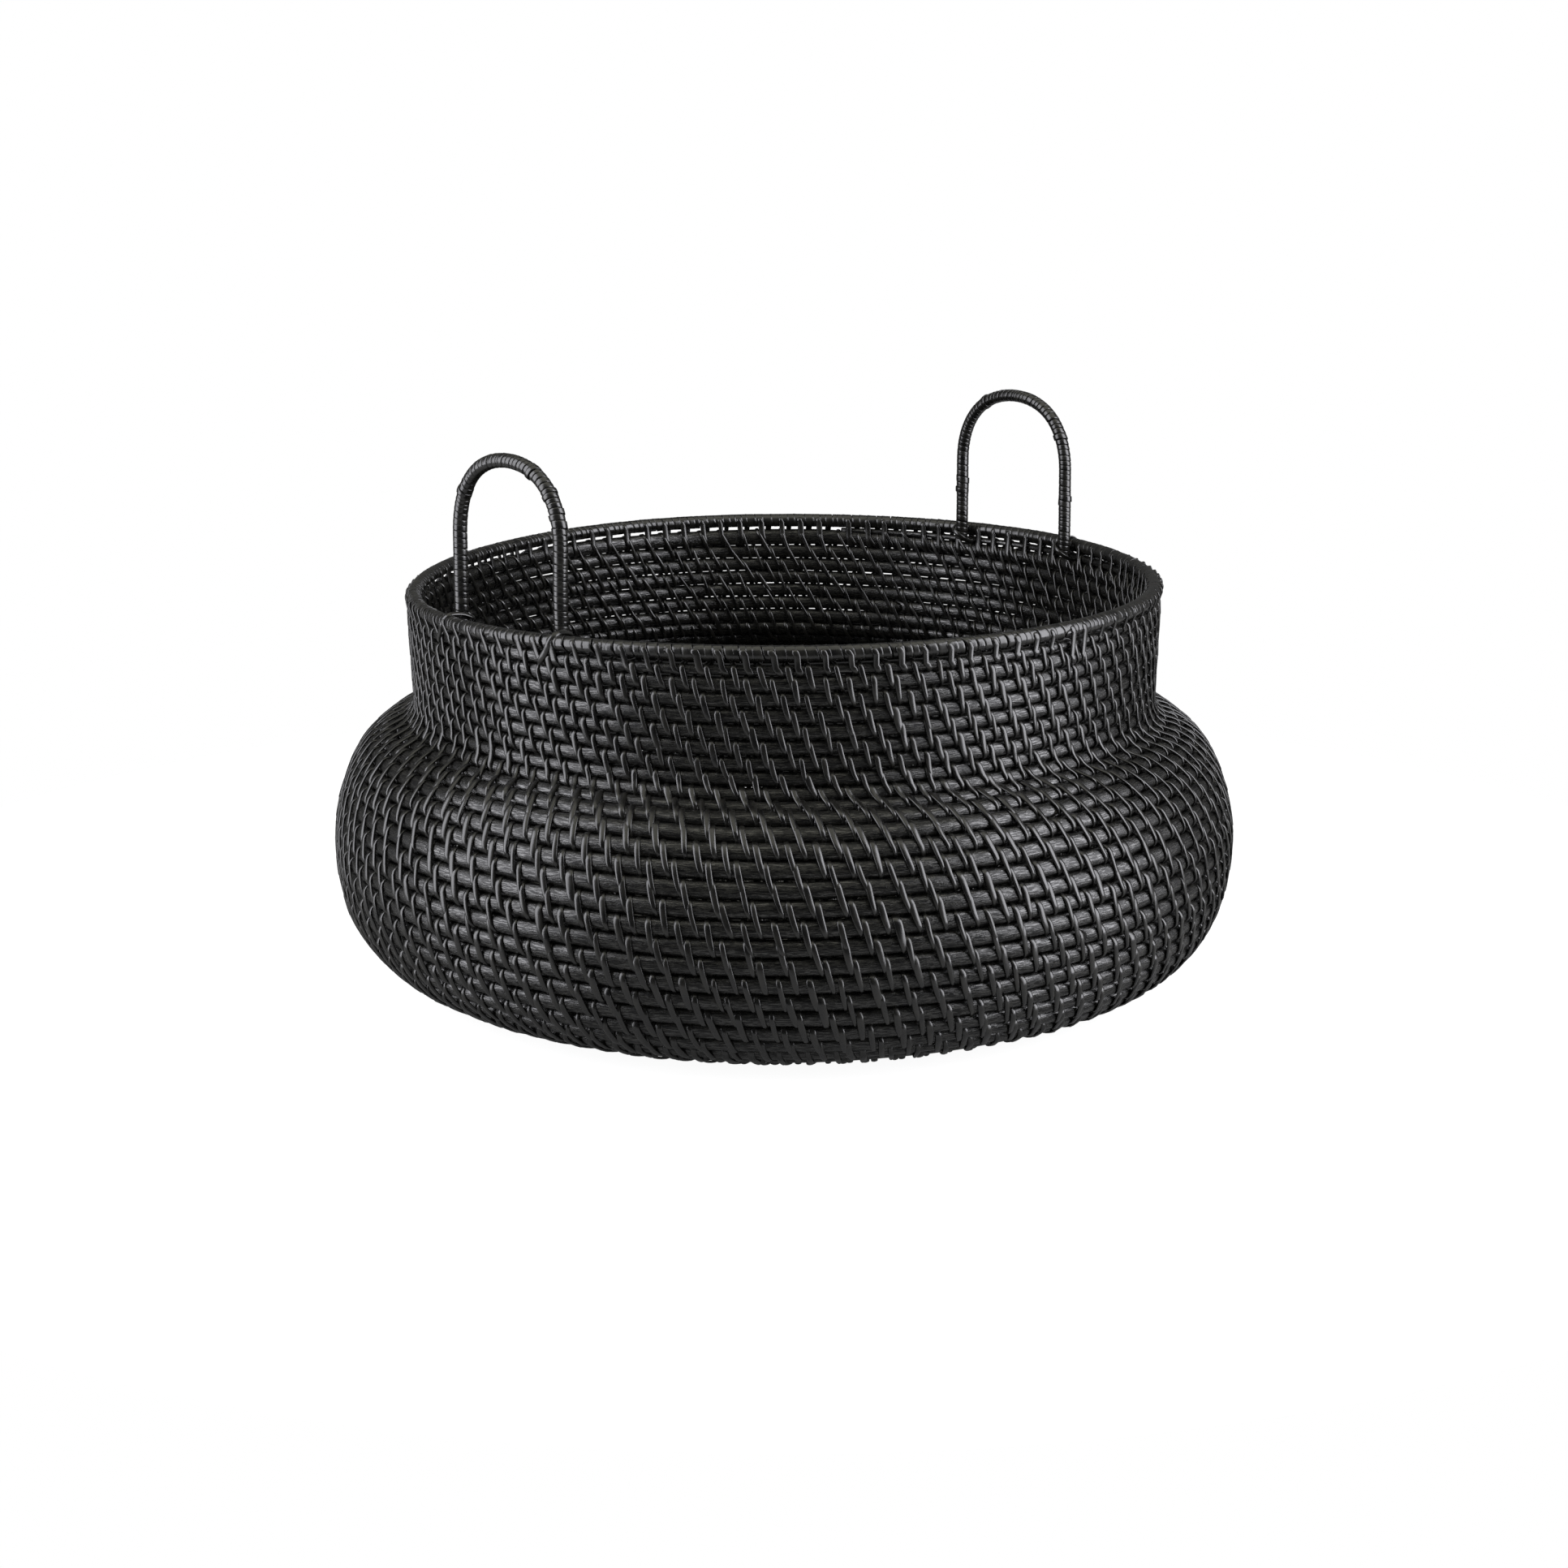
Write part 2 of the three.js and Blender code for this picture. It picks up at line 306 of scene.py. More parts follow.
def add_piece(
    name: str,
    tubes: list[Tube],
    material: bpy.types.Material,
    stands_for: tuple[str, ...] = (),
    closed: bool = False,
) -> None:
    """Makes a piece, gives it its finish and its body, and hides the CAD nodes that it stands for.

    Args:
        name: Name of the piece.
        tubes: The tubes that it is made of, in millimetres.
        material: Its material.
        stands_for: CAD nodes that the piece is shown in place of.
        closed: Whether each tube's last ring joins its first.
    """
    piece = bpy.data.objects.new(name, tube_mesh(name, tubes, closed))
    bpy.context.scene.collection.objects.link(piece)
    piece.data.materials.append(material)
    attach(piece, ROOT)
    if stands_for:
        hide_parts(*stands_for)
    log.info("%s: %d faces", piece.name, len(piece.data.polygons))


# ---------------------------------------------------------------------------- finishes


@dataclass(frozen=True)
class Marks:
    """Marks in the fibre, each longer than wide, with the depth that they have as relief."""

    width: float
    stretch: float
    detail: float = 2.0
    rough: float = 0.5
    depth: float = 0.0
    strength: float = 1.0


class Nodes:
    """A short way to write the nodes of a material or a world."""

    NOISE_SPAN: Pair = (0.3, 0.7)

    def __init__(self, owner: bpy.types.Material | bpy.types.World) -> None:
        """Starts an empty node tree.

        Args:
            owner: The material or world that the nodes are for.
        """
        owner.use_nodes = True
        self.owner = owner
        self.tree = owner.node_tree
        self.tree.nodes.clear()

    def add(self, kind: str, **values: object) -> bpy.types.Node:
        """Adds a node and sets what is given.

        Args:
            kind: The node's type, without the prefix ShaderNode.
            values: Properties by name, or sockets by name with spaces as underscores.

        Returns:
            The node.
        """
        node = self.tree.nodes.new("ShaderNode" + kind)
        for key, value in values.items():
            if hasattr(node, key):
                setattr(node, key, value)
            else:
                node.inputs[key.replace("_", " ")].default_value = value
        return node

    def link(self, source: Socket, target: Socket) -> None:
        """Links two sockets."""
        self.tree.links.new(source, target)

    def combine(self, operation: str, first: Socket, second: Socket | float) -> Socket:
        """Adds a Math node.

        Args:
            operation: Its operation, such as MAXIMUM.
            first: The socket that feeds its first input.
            second: The socket that feeds its second input, or a number there.

        Returns:
            Its output.
        """
        node = self.add("Math", operation=operation)
        self.link(first, node.inputs[0])
        if isinstance(second, Socket):
            self.link(second, node.inputs[1])
        else:
            node.inputs[1].default_value = second
        return node.outputs[0]

    def seen_by_eye(self, rays: bpy.types.Node) -> Socket:
        """One for rays from the eye, straight or through glass, and zero for others."""
        return self.combine("MAXIMUM", rays.outputs["Is Camera Ray"], rays.outputs["Is Transmission Ray"])

    def ramp(self, source: Socket, places: Pair, colours: tuple[Colour, Colour]) -> Socket:
        """Adds a ramp from one colour to another after a socket.

        Args:
            source: The socket that drives the ramp.
            places: Where the first colour ends and where the second starts.
            colours: The two colours.

        Returns:
            The colour.
        """
        node = self.add("ValToRGB")
        for element, place, colour in zip(node.color_ramp.elements, places, colours):
            element.position = place
            element.color = (*colour, 1.0)
        self.link(source, node.inputs["Fac"])
        return node.outputs["Color"]

    def contrast(self, source: Socket, span: Pair) -> Socket:
        """Stretches a narrow range of a socket to 0 to 1, with soft ends.

        Args:
            source: The socket to stretch.
            span: The values that become 0 and 1.

        Returns:
            The stretched output.
        """
        low, high = span
        node = self.add("MapRange", interpolation_type="SMOOTHSTEP", From_Min=low, From_Max=high)
        self.link(source, node.inputs["Value"])
        return node.outputs["Result"]

    def spread(self, source: Socket, values: Pair, span: Pair = NOISE_SPAN) -> Socket:
        """Maps one range of a socket onto another.

        Args:
            source: The socket to map.
            values: What the ends of the range become.
            span: The ends of the range; most of a noise lies in the usual one.

        Returns:
            The mapped output.
        """
        node = self.add("MapRange", From_Min=span[0], From_Max=span[1], To_Min=values[0], To_Max=values[1])
        self.link(source, node.inputs["Value"])
        return node.outputs["Result"]

    def noise(self, marks: Marks) -> Socket:
        """Noise in fibre coordinates.

        Args:
            marks: The size and detail of its marks.

        Returns:
            The noise value.
        """
        where = self.add("Attribute", attribute_name="grain")
        scaled = self.add("VectorMath", operation="MULTIPLY")
        scaled.inputs[1].default_value = (1 / marks.stretch, 1.0, 1.0)
        self.link(where.outputs["Vector"], scaled.inputs[0])
        scale = 1 / (marks.width * MM)
        noise = self.add("TexNoise", Scale=scale, Detail=marks.detail, Roughness=marks.rough)
        self.link(scaled.outputs["Vector"], noise.inputs["Vector"])
        return noise.outputs["Fac"]

    def relief(self, layers: list[tuple[Socket, Marks]]) -> Socket:
        """Lays marks over each other as bumps.

        Args:
            layers: The height and the marks of each layer, from the lowest up.

        Returns:
            The bumped normal.
        """
        below = None
        for height, marks in layers:
            node = self.add("Bump", Strength=marks.strength, Distance=marks.depth * MM)
            self.link(height, node.inputs["Height"])
            if below is not None:
                self.link(below, node.inputs["Normal"])
            below = node.outputs["Normal"]
        return below

    def finish(self, shader: Socket) -> bpy.types.Material | bpy.types.World:
        """Sends a shader to the output.

        Args:
            shader: The finished shader.

        Returns:
            What the nodes are for.
        """
        kind = "OutputWorld" if isinstance(self.owner, bpy.types.World) else "OutputMaterial"
        self.link(shader, self.add(kind).inputs["Surface"])
        return self.owner


@dataclass(frozen=True)
class CaneFinish:
    """Stained rattan core: open grain under a thin satin stain."""

    colours: tuple[Colour, Colour] = ((0.0025, 0.0025, 0.0025), (0.016, 0.0155, 0.013))
    colour_places: Pair = (0.1, 0.9)
    roughness: Pair = (0.32, 0.2)
    specular: Pair = (0.36, 1.0)
    ior: float = 1.55
    ridges: Marks = Marks(width=2.2, stretch=26.0, depth=0.16, strength=0.9)
    streaks: Marks = Marks(width=0.55, stretch=11.0, detail=3.0, rough=0.65, depth=0.045)
    streak_span: Pair = (0.42, 0.62)
    pebbles: Marks = Marks(width=0.5, stretch=2.2, rough=0.6, depth=0.085, strength=0.9)
    hairs: Marks = Marks(width=0.55 / 3, stretch=11.0, detail=1.0, depth=0.03, strength=0.8)

    def material(self) -> bpy.types.Material:
        """Builds the material.

        Returns:
            The material.
        """
        nodes = Nodes(bpy.data.materials.new("cane_stained"))
        streak = nodes.contrast(nodes.noise(self.streaks), self.streak_span)
        layers = [
            (nodes.noise(self.ridges), self.ridges),
            (streak, self.streaks),
            (nodes.noise(self.pebbles), self.pebbles),
            (nodes.noise(self.hairs), self.hairs),
        ]
        shader = nodes.add("BsdfPrincipled", IOR=self.ior)
        nodes.link(nodes.ramp(streak, self.colour_places, self.colours), shader.inputs["Base Color"])
        nodes.link(nodes.spread(streak, self.roughness), shader.inputs["Roughness"])
        nodes.link(nodes.spread(streak, self.specular), shader.inputs["Specular IOR Level"])
        nodes.link(nodes.relief(layers), shader.inputs["Normal"])
        return nodes.finish(shader.outputs["BSDF"])


@dataclass(frozen=True)
class PeelFinish:
    """Stained rattan peel: the smooth skin of the cane, half glossy."""

    colours: tuple[Colour, Colour] = ((0.0025, 0.0025, 0.0025), (0.012, 0.0115, 0.0092))
    colour_places: Pair = (0.35, 0.65)
    roughness: Pair = (0.22, 0.34)
    specular: float = 0.78
    ior: float = 1.55
    patches: Marks = Marks(width=6.0, stretch=2.0)
    streaks: Marks = Marks(width=0.5, stretch=16.0, depth=0.06, strength=0.6)

    def material(self) -> bpy.types.Material:
        """Builds the material.

        Returns:
            The material.
        """
        nodes = Nodes(bpy.data.materials.new("peel_stained"))
        patch = nodes.noise(self.patches)
        layers = [(nodes.noise(self.streaks), self.streaks)]
        shader = nodes.add("BsdfPrincipled", Specular_IOR_Level=self.specular, IOR=self.ior)
        nodes.link(nodes.ramp(patch, self.colour_places, self.colours), shader.inputs["Base Color"])
        nodes.link(nodes.spread(patch, self.roughness), shader.inputs["Roughness"])
        nodes.link(nodes.relief(layers), shader.inputs["Normal"])
        return nodes.finish(shader.outputs["BSDF"])


# ---------------------------------------------------------------------------- the basket's form


@dataclass(frozen=True)
class WallProfile:
    """The middle of the wall, from the middle of the base to the middle of the rim.

    Each bend is a radius and the degrees that it turns through.
    """

    body_cane: float = 9.8
    neck_cane: float = 8.4
    row_gap: float = 0.9
    base_radius: float = 223.0
    heel: Pair = (57.5, 71.6)
    belly: Pair = (112.3, 41.6)
    shoulder: Pair = (55.3, 44.3)
    throat_bend: float = 21.3
    neck_flare: float = 2.1
    neck_height: float = 69.4
    rim_radius: float = 4.5
    rim_offset: float = 1.0
    rim_gap: float = 1.6
    headroom: float = 15.0
    step: float = 0.05
    tightest: float = 6.0
    table: dict[str, np.ndarray] = field(default_factory=dict)

    def __post_init__(self) -> None:
        """Walks along the bends and notes radius, height and heading."""
        turned = self.heel[1] + self.belly[1] + self.shoulder[1]
        body = [
            (self.base_radius, 0.0),
            *((bend * math.radians(turn), turn) for bend, turn in (self.heel, self.belly, self.shoulder)),
        ]
        neck = [
            (self.throat_bend * math.radians(turned + self.neck_flare - 90), 90 - self.neck_flare - turned),
            (self.neck_height, 0.0),
        ]
        heading = np.concatenate([
            np.full(round(length / self.step), math.radians(turn) * self.step / length)
            for length, turn in (*body, *neck, (self.headroom, 0.0))
        ]).cumsum()
        self.table["s"] = np.arange(len(heading)) * self.step
        self.table["heading"] = heading
        self.table["r"] = (np.cos(heading) * self.step).cumsum()
        self.table["z"] = (np.sin(heading) * self.step).cumsum() + self.body_cane / 2
        self.table["throat"] = np.array(sum(length for length, _ in body))
        self.table["top"] = np.array(sum(length for length, _ in body + neck))

    @property
    def length(self) -> float:
        """Length of the profile."""
        return float(self.table["top"])

    @property
    def throat(self) -> float:
        """Where the throat starts."""
        return float(self.table["throat"])

    @property
    def wall_top(self) -> float:
        """Where the wall ends under the rim."""
        return self.length - self.rim_radius - self.rim_gap

    @property
    def rim_centre(self) -> Pair:
        """Radius and height of the middle of the rim."""
        r, z, _ = self.at(np.array(self.length))
        return float(r) + self.rim_offset, float(z)

    def at(self, s: np.ndarray) -> tuple[np.ndarray, np.ndarray, np.ndarray]:
        """Radius, height and heading of the profile.

        Args:
            s: Distances along the profile.

        Returns:
            Radius, height and heading in radians.
        """
        grid = self.table["s"]
        return tuple(np.interp(s, grid, self.table[key]) for key in ("r", "z", "heading"))

    def place(self, s: np.ndarray, out: np.ndarray, azimuth: np.ndarray, aside: np.ndarray) -> np.ndarray:
        """Points on and around the wall.

        Args:
            s: Distances along the profile.
            out: Distances outward from the middle of the wall.
            azimuth: Angles round the basket, in radians.
            aside: Distances round the wall from that angle, counter-clockwise from above.

        Returns:
            The points, in millimetres.
        """
        r, z, heading = self.at(s)
        radius = r + out * np.sin(heading)
        angle = azimuth + aside / np.maximum(radius, self.tightest)
        return np.stack(
            [radius * np.cos(angle), radius * np.sin(angle), z - out * np.cos(heading)], axis=-1
        )


class CaneSection(NamedTuple):
    """The cane's section: its middle along the profile and outward, and half its width and depth."""

    middle: np.ndarray
    outward: np.ndarray
    half_width: np.ndarray
    half_depth: np.ndarray


@dataclass(frozen=True)
class Spiral:
    """The run of the cane: turns counted from the middle of the base to the rim."""

    wall: WallProfile
    steps: int = 20
    end_azimuth: float = 36.0
    curl_radius: float = 14.0
    top_cane_length: float = 700.0
    tip_width: float = 2.0
    grid_step: float = 0.01
    spare_turns: float = 2.05
    slack: float = 0.5
    thinnest: float = 0.5
    neck_start: Ease = Ease(14.0, 14.0)
    neck_trim: float = 0.06
    throat_fill: float = 0.42
    throat_rows: Pair = (12.0, 12.0)
    heel_length: float = 45.0
    base_fill: float = 0.7
    base_thinning: float = 0.55
    base_lift: float = 2.15
    end_swell: float = 2.1
    swell_start: Ease = Ease(-1.06, 0.08)
    swell_end: Ease = Ease(-0.72, -0.28)
    end_snug: float = 1.15
    snug_start: Ease = Ease(-0.36, 0.12)
    body_wander: float = 0.6
    size_wanders: tuple[Wander, ...] = (Wander(11, 0.17, 210.0), Wander(12, 0.08, 45.0))
    row_wander: Wander = Wander(13, 0.26, 105.0)
    top_wander: Wander = Wander(14, 0.3, 160.0)
    outward_wander: Wander = Wander(15, 0.28, 130.0)

    @property
    def body_pitch(self) -> float:
        """Climb of one turn up to the throat."""
        return self.wall.body_cane + self.wall.row_gap

    @property
    def neck_pitch(self) -> float:
        """Climb of one turn above the throat."""
        return self.wall.neck_cane + self.wall.row_gap

    @property
    def body_turns(self) -> float:
        """Turns up to the throat."""
        return self.wall.throat / self.body_pitch

    @property
    def last_turn(self) -> float:
        """Where the spiral ends."""
        climb = self.wall.wall_top - self.tip_width + self.wall.neck_cane / 2 - self.wall.throat
        return round((self.body_turns + climb / self.neck_pitch) * self.steps) / self.steps

    @property
    def first_turn(self) -> float:
        """Where the curl in the middle gives way to the spiral."""
        return round(self.curl_radius / self.body_pitch * self.steps) / self.steps

    @property
    def heel_turn(self) -> float:
        """Where the base ends and the wall starts."""
        return round(self.wall.base_radius / self.body_pitch * self.steps) / self.steps

    @property
    def top_splice(self) -> float:
        """Where the last cane starts, counted back from the end."""
        run = self.run(np.array(self.last_turn)) - self.top_cane_length
        return self.step_middle(float(self.turn_at(run, 0, self.last_turn)))

    def azimuth(self, turn: np.ndarray) -> np.ndarray:
        """Angle round the basket at a turn, in radians."""
        return math.radians(self.end_azimuth) + FULL_TURN * (turn - self.last_turn)

    def distance(self, turn: np.ndarray) -> np.ndarray:
        """Distance along the profile at a turn."""
        in_body = np.minimum(turn, self.body_turns)
        return self.body_pitch * in_body + self.neck_pitch * (turn - in_body)

    def room(self, turn: np.ndarray) -> np.ndarray:
        """Room for the cane at a turn, from slit to slit."""
        return self.distance(turn + 0.5) - self.distance(turn - 0.5) - self.wall.row_gap

    def run(self, turn: np.ndarray) -> np.ndarray:
        """Length of cane up to a turn.

        Args:
            turn: Turns along the spiral.

        Returns:
            The lengths, in millimetres.
        """
        grid = np.arange(0, self.last_turn + self.spare_turns, self.grid_step)
        radius, _, _ = self.wall.at(self.distance(grid))
        steps = FULL_TURN * (self.grid_step / 2) * (radius[1:] + radius[:-1])
        return np.interp(turn, grid, np.concatenate([[0], steps.cumsum()]))

    def turn_at(self, run: np.ndarray, start: float, end: float) -> np.ndarray:
        """Turns at given lengths of cane.

        Args:
            run: Lengths of cane.
            start: A turn that comes before all of them.
            end: A turn that comes after all of them.

        Returns:
            The turns.
        """
        grid = np.arange(start, end, self.grid_step)
        return np.interp(run, self.run(grid), grid)

    def step_middle(self, turn: float) -> float:
        """Middle of the straight step of the CAD spiral that a turn falls in."""
        return (math.floor(turn * self.steps) + 0.5) / self.steps

    def splices(self, start: float, end: float, canes: int) -> list[float]:
        """Turns at which one cane ends and the next one starts, for canes of one length.

        Args:
            start: Turn at which the first cane starts.
            end: Turn at which the last cane ends.
            canes: How many canes there are.

        Returns:
            The middles of the splices.
        """
        marks = np.linspace(*self.run(np.array([start, end])), canes + 1)[1:-1]
        return [self.step_middle(turn) for turn in self.turn_at(marks, start, end)]

    def section(self, turn: np.ndarray) -> CaneSection:
        """The cane's section at a turn.

        It is a little fuller above the throat, and fuller, flatter and higher in the base. One
        turn before its end it swells, where it lies under the rim by itself and the slit would gape.
        Where the rim thins it, it is shallower too.

        Args:
            turn: Turns along the spiral.

        Returns:
            The section there.
        """
        run = self.run(turn)
        reach = self.distance(turn)
        past_throat = reach - self.wall.throat
        in_neck = self.neck_start.at(past_throat)
        rows_middle, rows_spread = self.throat_rows
        near_throat = np.exp(-(((past_throat - rows_middle) / rows_spread) ** 2))
        flat = 1 - Ease(self.wall.base_radius, self.heel_length).at(reach)
        size = self.room(turn) + self.slack - self.neck_trim * in_neck
        size = size + self.throat_fill * near_throat + self.base_fill * flat
        unevenness = self.body_wander + (1 - self.body_wander) * in_neck
        size = size + unevenness * sum(wander.at(run) for wander in self.size_wanders)
        centre = reach + self.row_wander.at(run)
        lower = centre - size / 2
        late = turn - self.last_turn
        swell = self.end_swell * self.swell_start.at(late) * self.swell_end.at(late)
        snug = self.end_snug * self.snug_start.at(late)
        limit = self.wall.wall_top + snug + self.top_wander.at(run)
        upper = np.minimum(centre + size / 2 + swell, limit)
        half_width = np.maximum((upper - lower) / 2, self.thinnest)
        half_depth = size / 2 * np.minimum(1, 0.5 + half_width / size)
        outward = self.outward_wander.at(run) * (1 - flat) - self.base_lift * flat
        return CaneSection(lower + half_width, outward, half_width, half_depth - self.base_thinning * flat)

    def cane_at(self, turn: float, least: float) -> CaneSection:
        """The cane at a turn, or the one a turn below where that one has thinned out.

        Args:
            turn: Turn along the spiral.
            least: Half the width that a cane has to have.

        Returns:
            The section, as single numbers.
        """
        for where in (turn, turn - 1):
            section = CaneSection(*(float(value) for value in self.section(np.array(where))))
            if section.half_width >= least:
                break
        return section


# ---------------------------------------------------------------------------- foundation canes


@dataclass
class FoundationCanes:
    """The lengths of cane that the spiral is made of, and the curl that it starts from."""

    spiral: Spiral
    finish: bpy.types.Material
    base_canes: int = 4
    wall_canes: int = 12
    curl_start: float = 0.3
    sides: int = 18
    fullness: float = 0.82
    ring_spacing: float = 3.6
    fewest_rings: int = 8
    grid_points: int = 2000
    splice_length: float = 23.0
    splice_gap: float = 1.0
    splice_rings: int = 9
    splice_curve: float = 1.4
    tip_radius: float = 3.3
    tip_bend: Pair = (1.8, 4.9)
    tip_turns: float = 1.2
    tip_end: float = 170.0
    tip_rings: int = 40
    ridge_waves: tuple[int, ...] = (2, 3, 5, 7)
    ridge_twist: Pair = (50.0, 150.0)
    ridge_swell: Pair = (90.0, 260.0)
    ridge_phase: Pair = (0.0, 6.0)
    ridge_evenness: float = 0.6
    ridge_height: float = 0.007

    def build(self) -> None:
        """Builds the curl, the base canes and the wall canes."""
        spiral = self.spiral
        self.cane("centre_coil", (self.curl_start, spiral.first_turn), "centre_curl", (False, False))
        self.tip()
        heel = spiral.heel_turn + 0.5 / spiral.steps
        splices = spiral.splices(spiral.first_turn, spiral.heel_turn, self.base_canes)
        ends = [spiral.first_turn, *splices, heel]
        for i, turns in enumerate(zip(ends, ends[1:]), 1):
            self.cane(f"base_coil_{i}", turns, f"base_cane_{i}", (i > 1, True))
        splices = spiral.splices(spiral.heel_turn, spiral.top_splice, self.wall_canes - 1)
        ends = [heel, *splices, spiral.top_splice, spiral.last_turn]
        for i, turns in enumerate(zip(ends, ends[1:]), 1):
            self.cane(f"wall_coil_{i:02d}", turns, f"wall_cane_{i:02d}", (True, i < self.wall_canes))

    def tip(self) -> None:
        """Builds the shaved tip of the first cane, bent round tightly in the middle of the curl."""
        turns = np.linspace(-self.tip_turns, 0, self.tip_rings)
        outward, upward = round_directions(math.radians(self.tip_end) + FULL_TURN * turns)
        _, height, _ = self.spiral.wall.at(np.array(0.0))
        bend = np.linspace(*self.tip_bend, self.tip_rings)[:, None]
        middle = bend * outward + (float(height) + self.spiral.base_lift) * upward
        tube = round_core((middle, upward, outward), self.tip_radius)
        add_piece("centre_tip", [tube], self.finish)

    def cane(self, name: str, ends: Pair, node: str, slanted: tuple[bool, bool]) -> None:
        """Builds one length of cane.

        Args:
            name: Name of the piece.
            ends: Turns at which it starts and ends.
            node: The CAD node that it stands for.
            slanted: Whether it starts and whether it ends in a long slanted cut.
        """
        spiral = self.spiral
        first, last = spiral.run(np.array(ends))
        count = max(self.fewest_rings, int((last - first) / self.ring_spacing))
        grid = np.linspace(*ends, self.grid_points)
        turn = np.interp(np.linspace(first, last, count), spiral.run(grid), grid)
        angle = np.linspace(0, FULL_TURN, self.sides, endpoint=False)
        across, through = (
            np.sign(wave) * np.abs(wave) ** self.fullness for wave in (np.sin(angle), np.cos(angle))
        )
        turns = np.repeat(turn[:, None], self.sides, axis=1)
        radius, _, _ = spiral.wall.at(spiral.distance(np.array(ends)))
        rings, half_gap = self.splice_rings, self.splice_gap / 2
        cut = through * self.splice_length / 2
        fan = np.linspace(0, 1, rings)[:, None] ** self.splice_curve
        if slanted[0]:
            turns[:rings] += fan[::-1] * ((cut + half_gap) / (FULL_TURN * radius[0]))
        if slanted[1]:
            turns[-rings:] += fan * ((cut - half_gap) / (FULL_TURN * radius[1]))
        along = spiral.run(turns)
        section = spiral.section(turns)
        x, y = across * section.half_width, through * section.half_depth
        ridges = self.ridges(name, along, angle)
        s, out = section.middle + x * ridges, section.outward + y * ridges
        points = spiral.wall.place(s, out, spiral.azimuth(turns), np.zeros_like(s))
        tube = points, np.stack([along, x, y], axis=-1)
        add_piece(name, [tube], self.finish, (node,))

    def ridges(self, name: str, along: np.ndarray, angle: np.ndarray) -> np.ndarray:
        """Shallow lengthwise ridges and flats of a natural cane.

        Args:
            name: Name of the cane, which picks its own ridges.
            along: Length along the cane.
            angle: Angle round its section.

        Returns:
            A factor near one for the radius.
        """
        rng = np.random.default_rng(sum(map(ord, name)))
        relief = np.zeros_like(along)
        for waves in self.ridge_waves:
            twist = along / rng.uniform(*self.ridge_twist)
            swell_turn = FULL_TURN * along / rng.uniform(*self.ridge_swell) + rng.uniform(*self.ridge_phase)
            swell = self.ridge_evenness + (1 - self.ridge_evenness) * np.sin(swell_turn)
            relief += swell * np.sin(waves * angle + twist + rng.uniform(*self.ridge_phase))
        return 1 + self.ridge_height * relief


# ---------------------------------------------------------------------------- strips of peel


@dataclass(frozen=True)
class PeelSection:
    """The section of a strip of peel, flat below and crowned above, for a strip of size one."""

    across: tuple[float, ...] = (-0.5, -0.485, -0.42, -0.24, 0.0, 0.24, 0.42, 0.485, 0.5, 0.38, -0.38)
    above: tuple[float, ...] = (-0.38, 0.04, 0.25, 0.43, 0.5, 0.43, 0.25, 0.04, -0.38, -0.5, -0.5)

    def sweep(
        self,
        path: np.ndarray,
        outward: np.ndarray,
        width: np.ndarray,
        thickness: np.ndarray,
        roll: np.ndarray,
    ) -> Tube:
        """Carries the section along a path.

        Args:
            path: Points of the path.
            outward: The direction that the crown faces at each point, more or less.
            width: Width of the strip at each point.
            thickness: Thickness at each point.
            roll: Extra turn about the path at each point, in radians.

        Returns:
            The tube.
        """
        along = unit(np.gradient(path, axis=0))
        up = unit(outward - (outward * along).sum(-1, keepdims=True) * along)
        side = np.cross(along, up)
        cos, sin = np.cos(roll)[:, None], np.sin(roll)[:, None]
        x = np.array(self.across)[None, :] * width[:, None]
        y = np.array(self.above)[None, :] * thickness[:, None]
        return carried(path, x, y, side * cos - up * sin, up * cos + side * sin)


CROWNED_PEEL = PeelSection()
FLAT_PEEL = PeelSection(
    across=(-0.5, -0.497, -0.46, -0.25, 0.25, 0.46, 0.497, 0.5, 0.4, -0.4),
    above=(-0.4, 0.27, 0.45, 0.5, 0.5, 0.45, 0.27, -0.4, -0.5, -0.5),
)


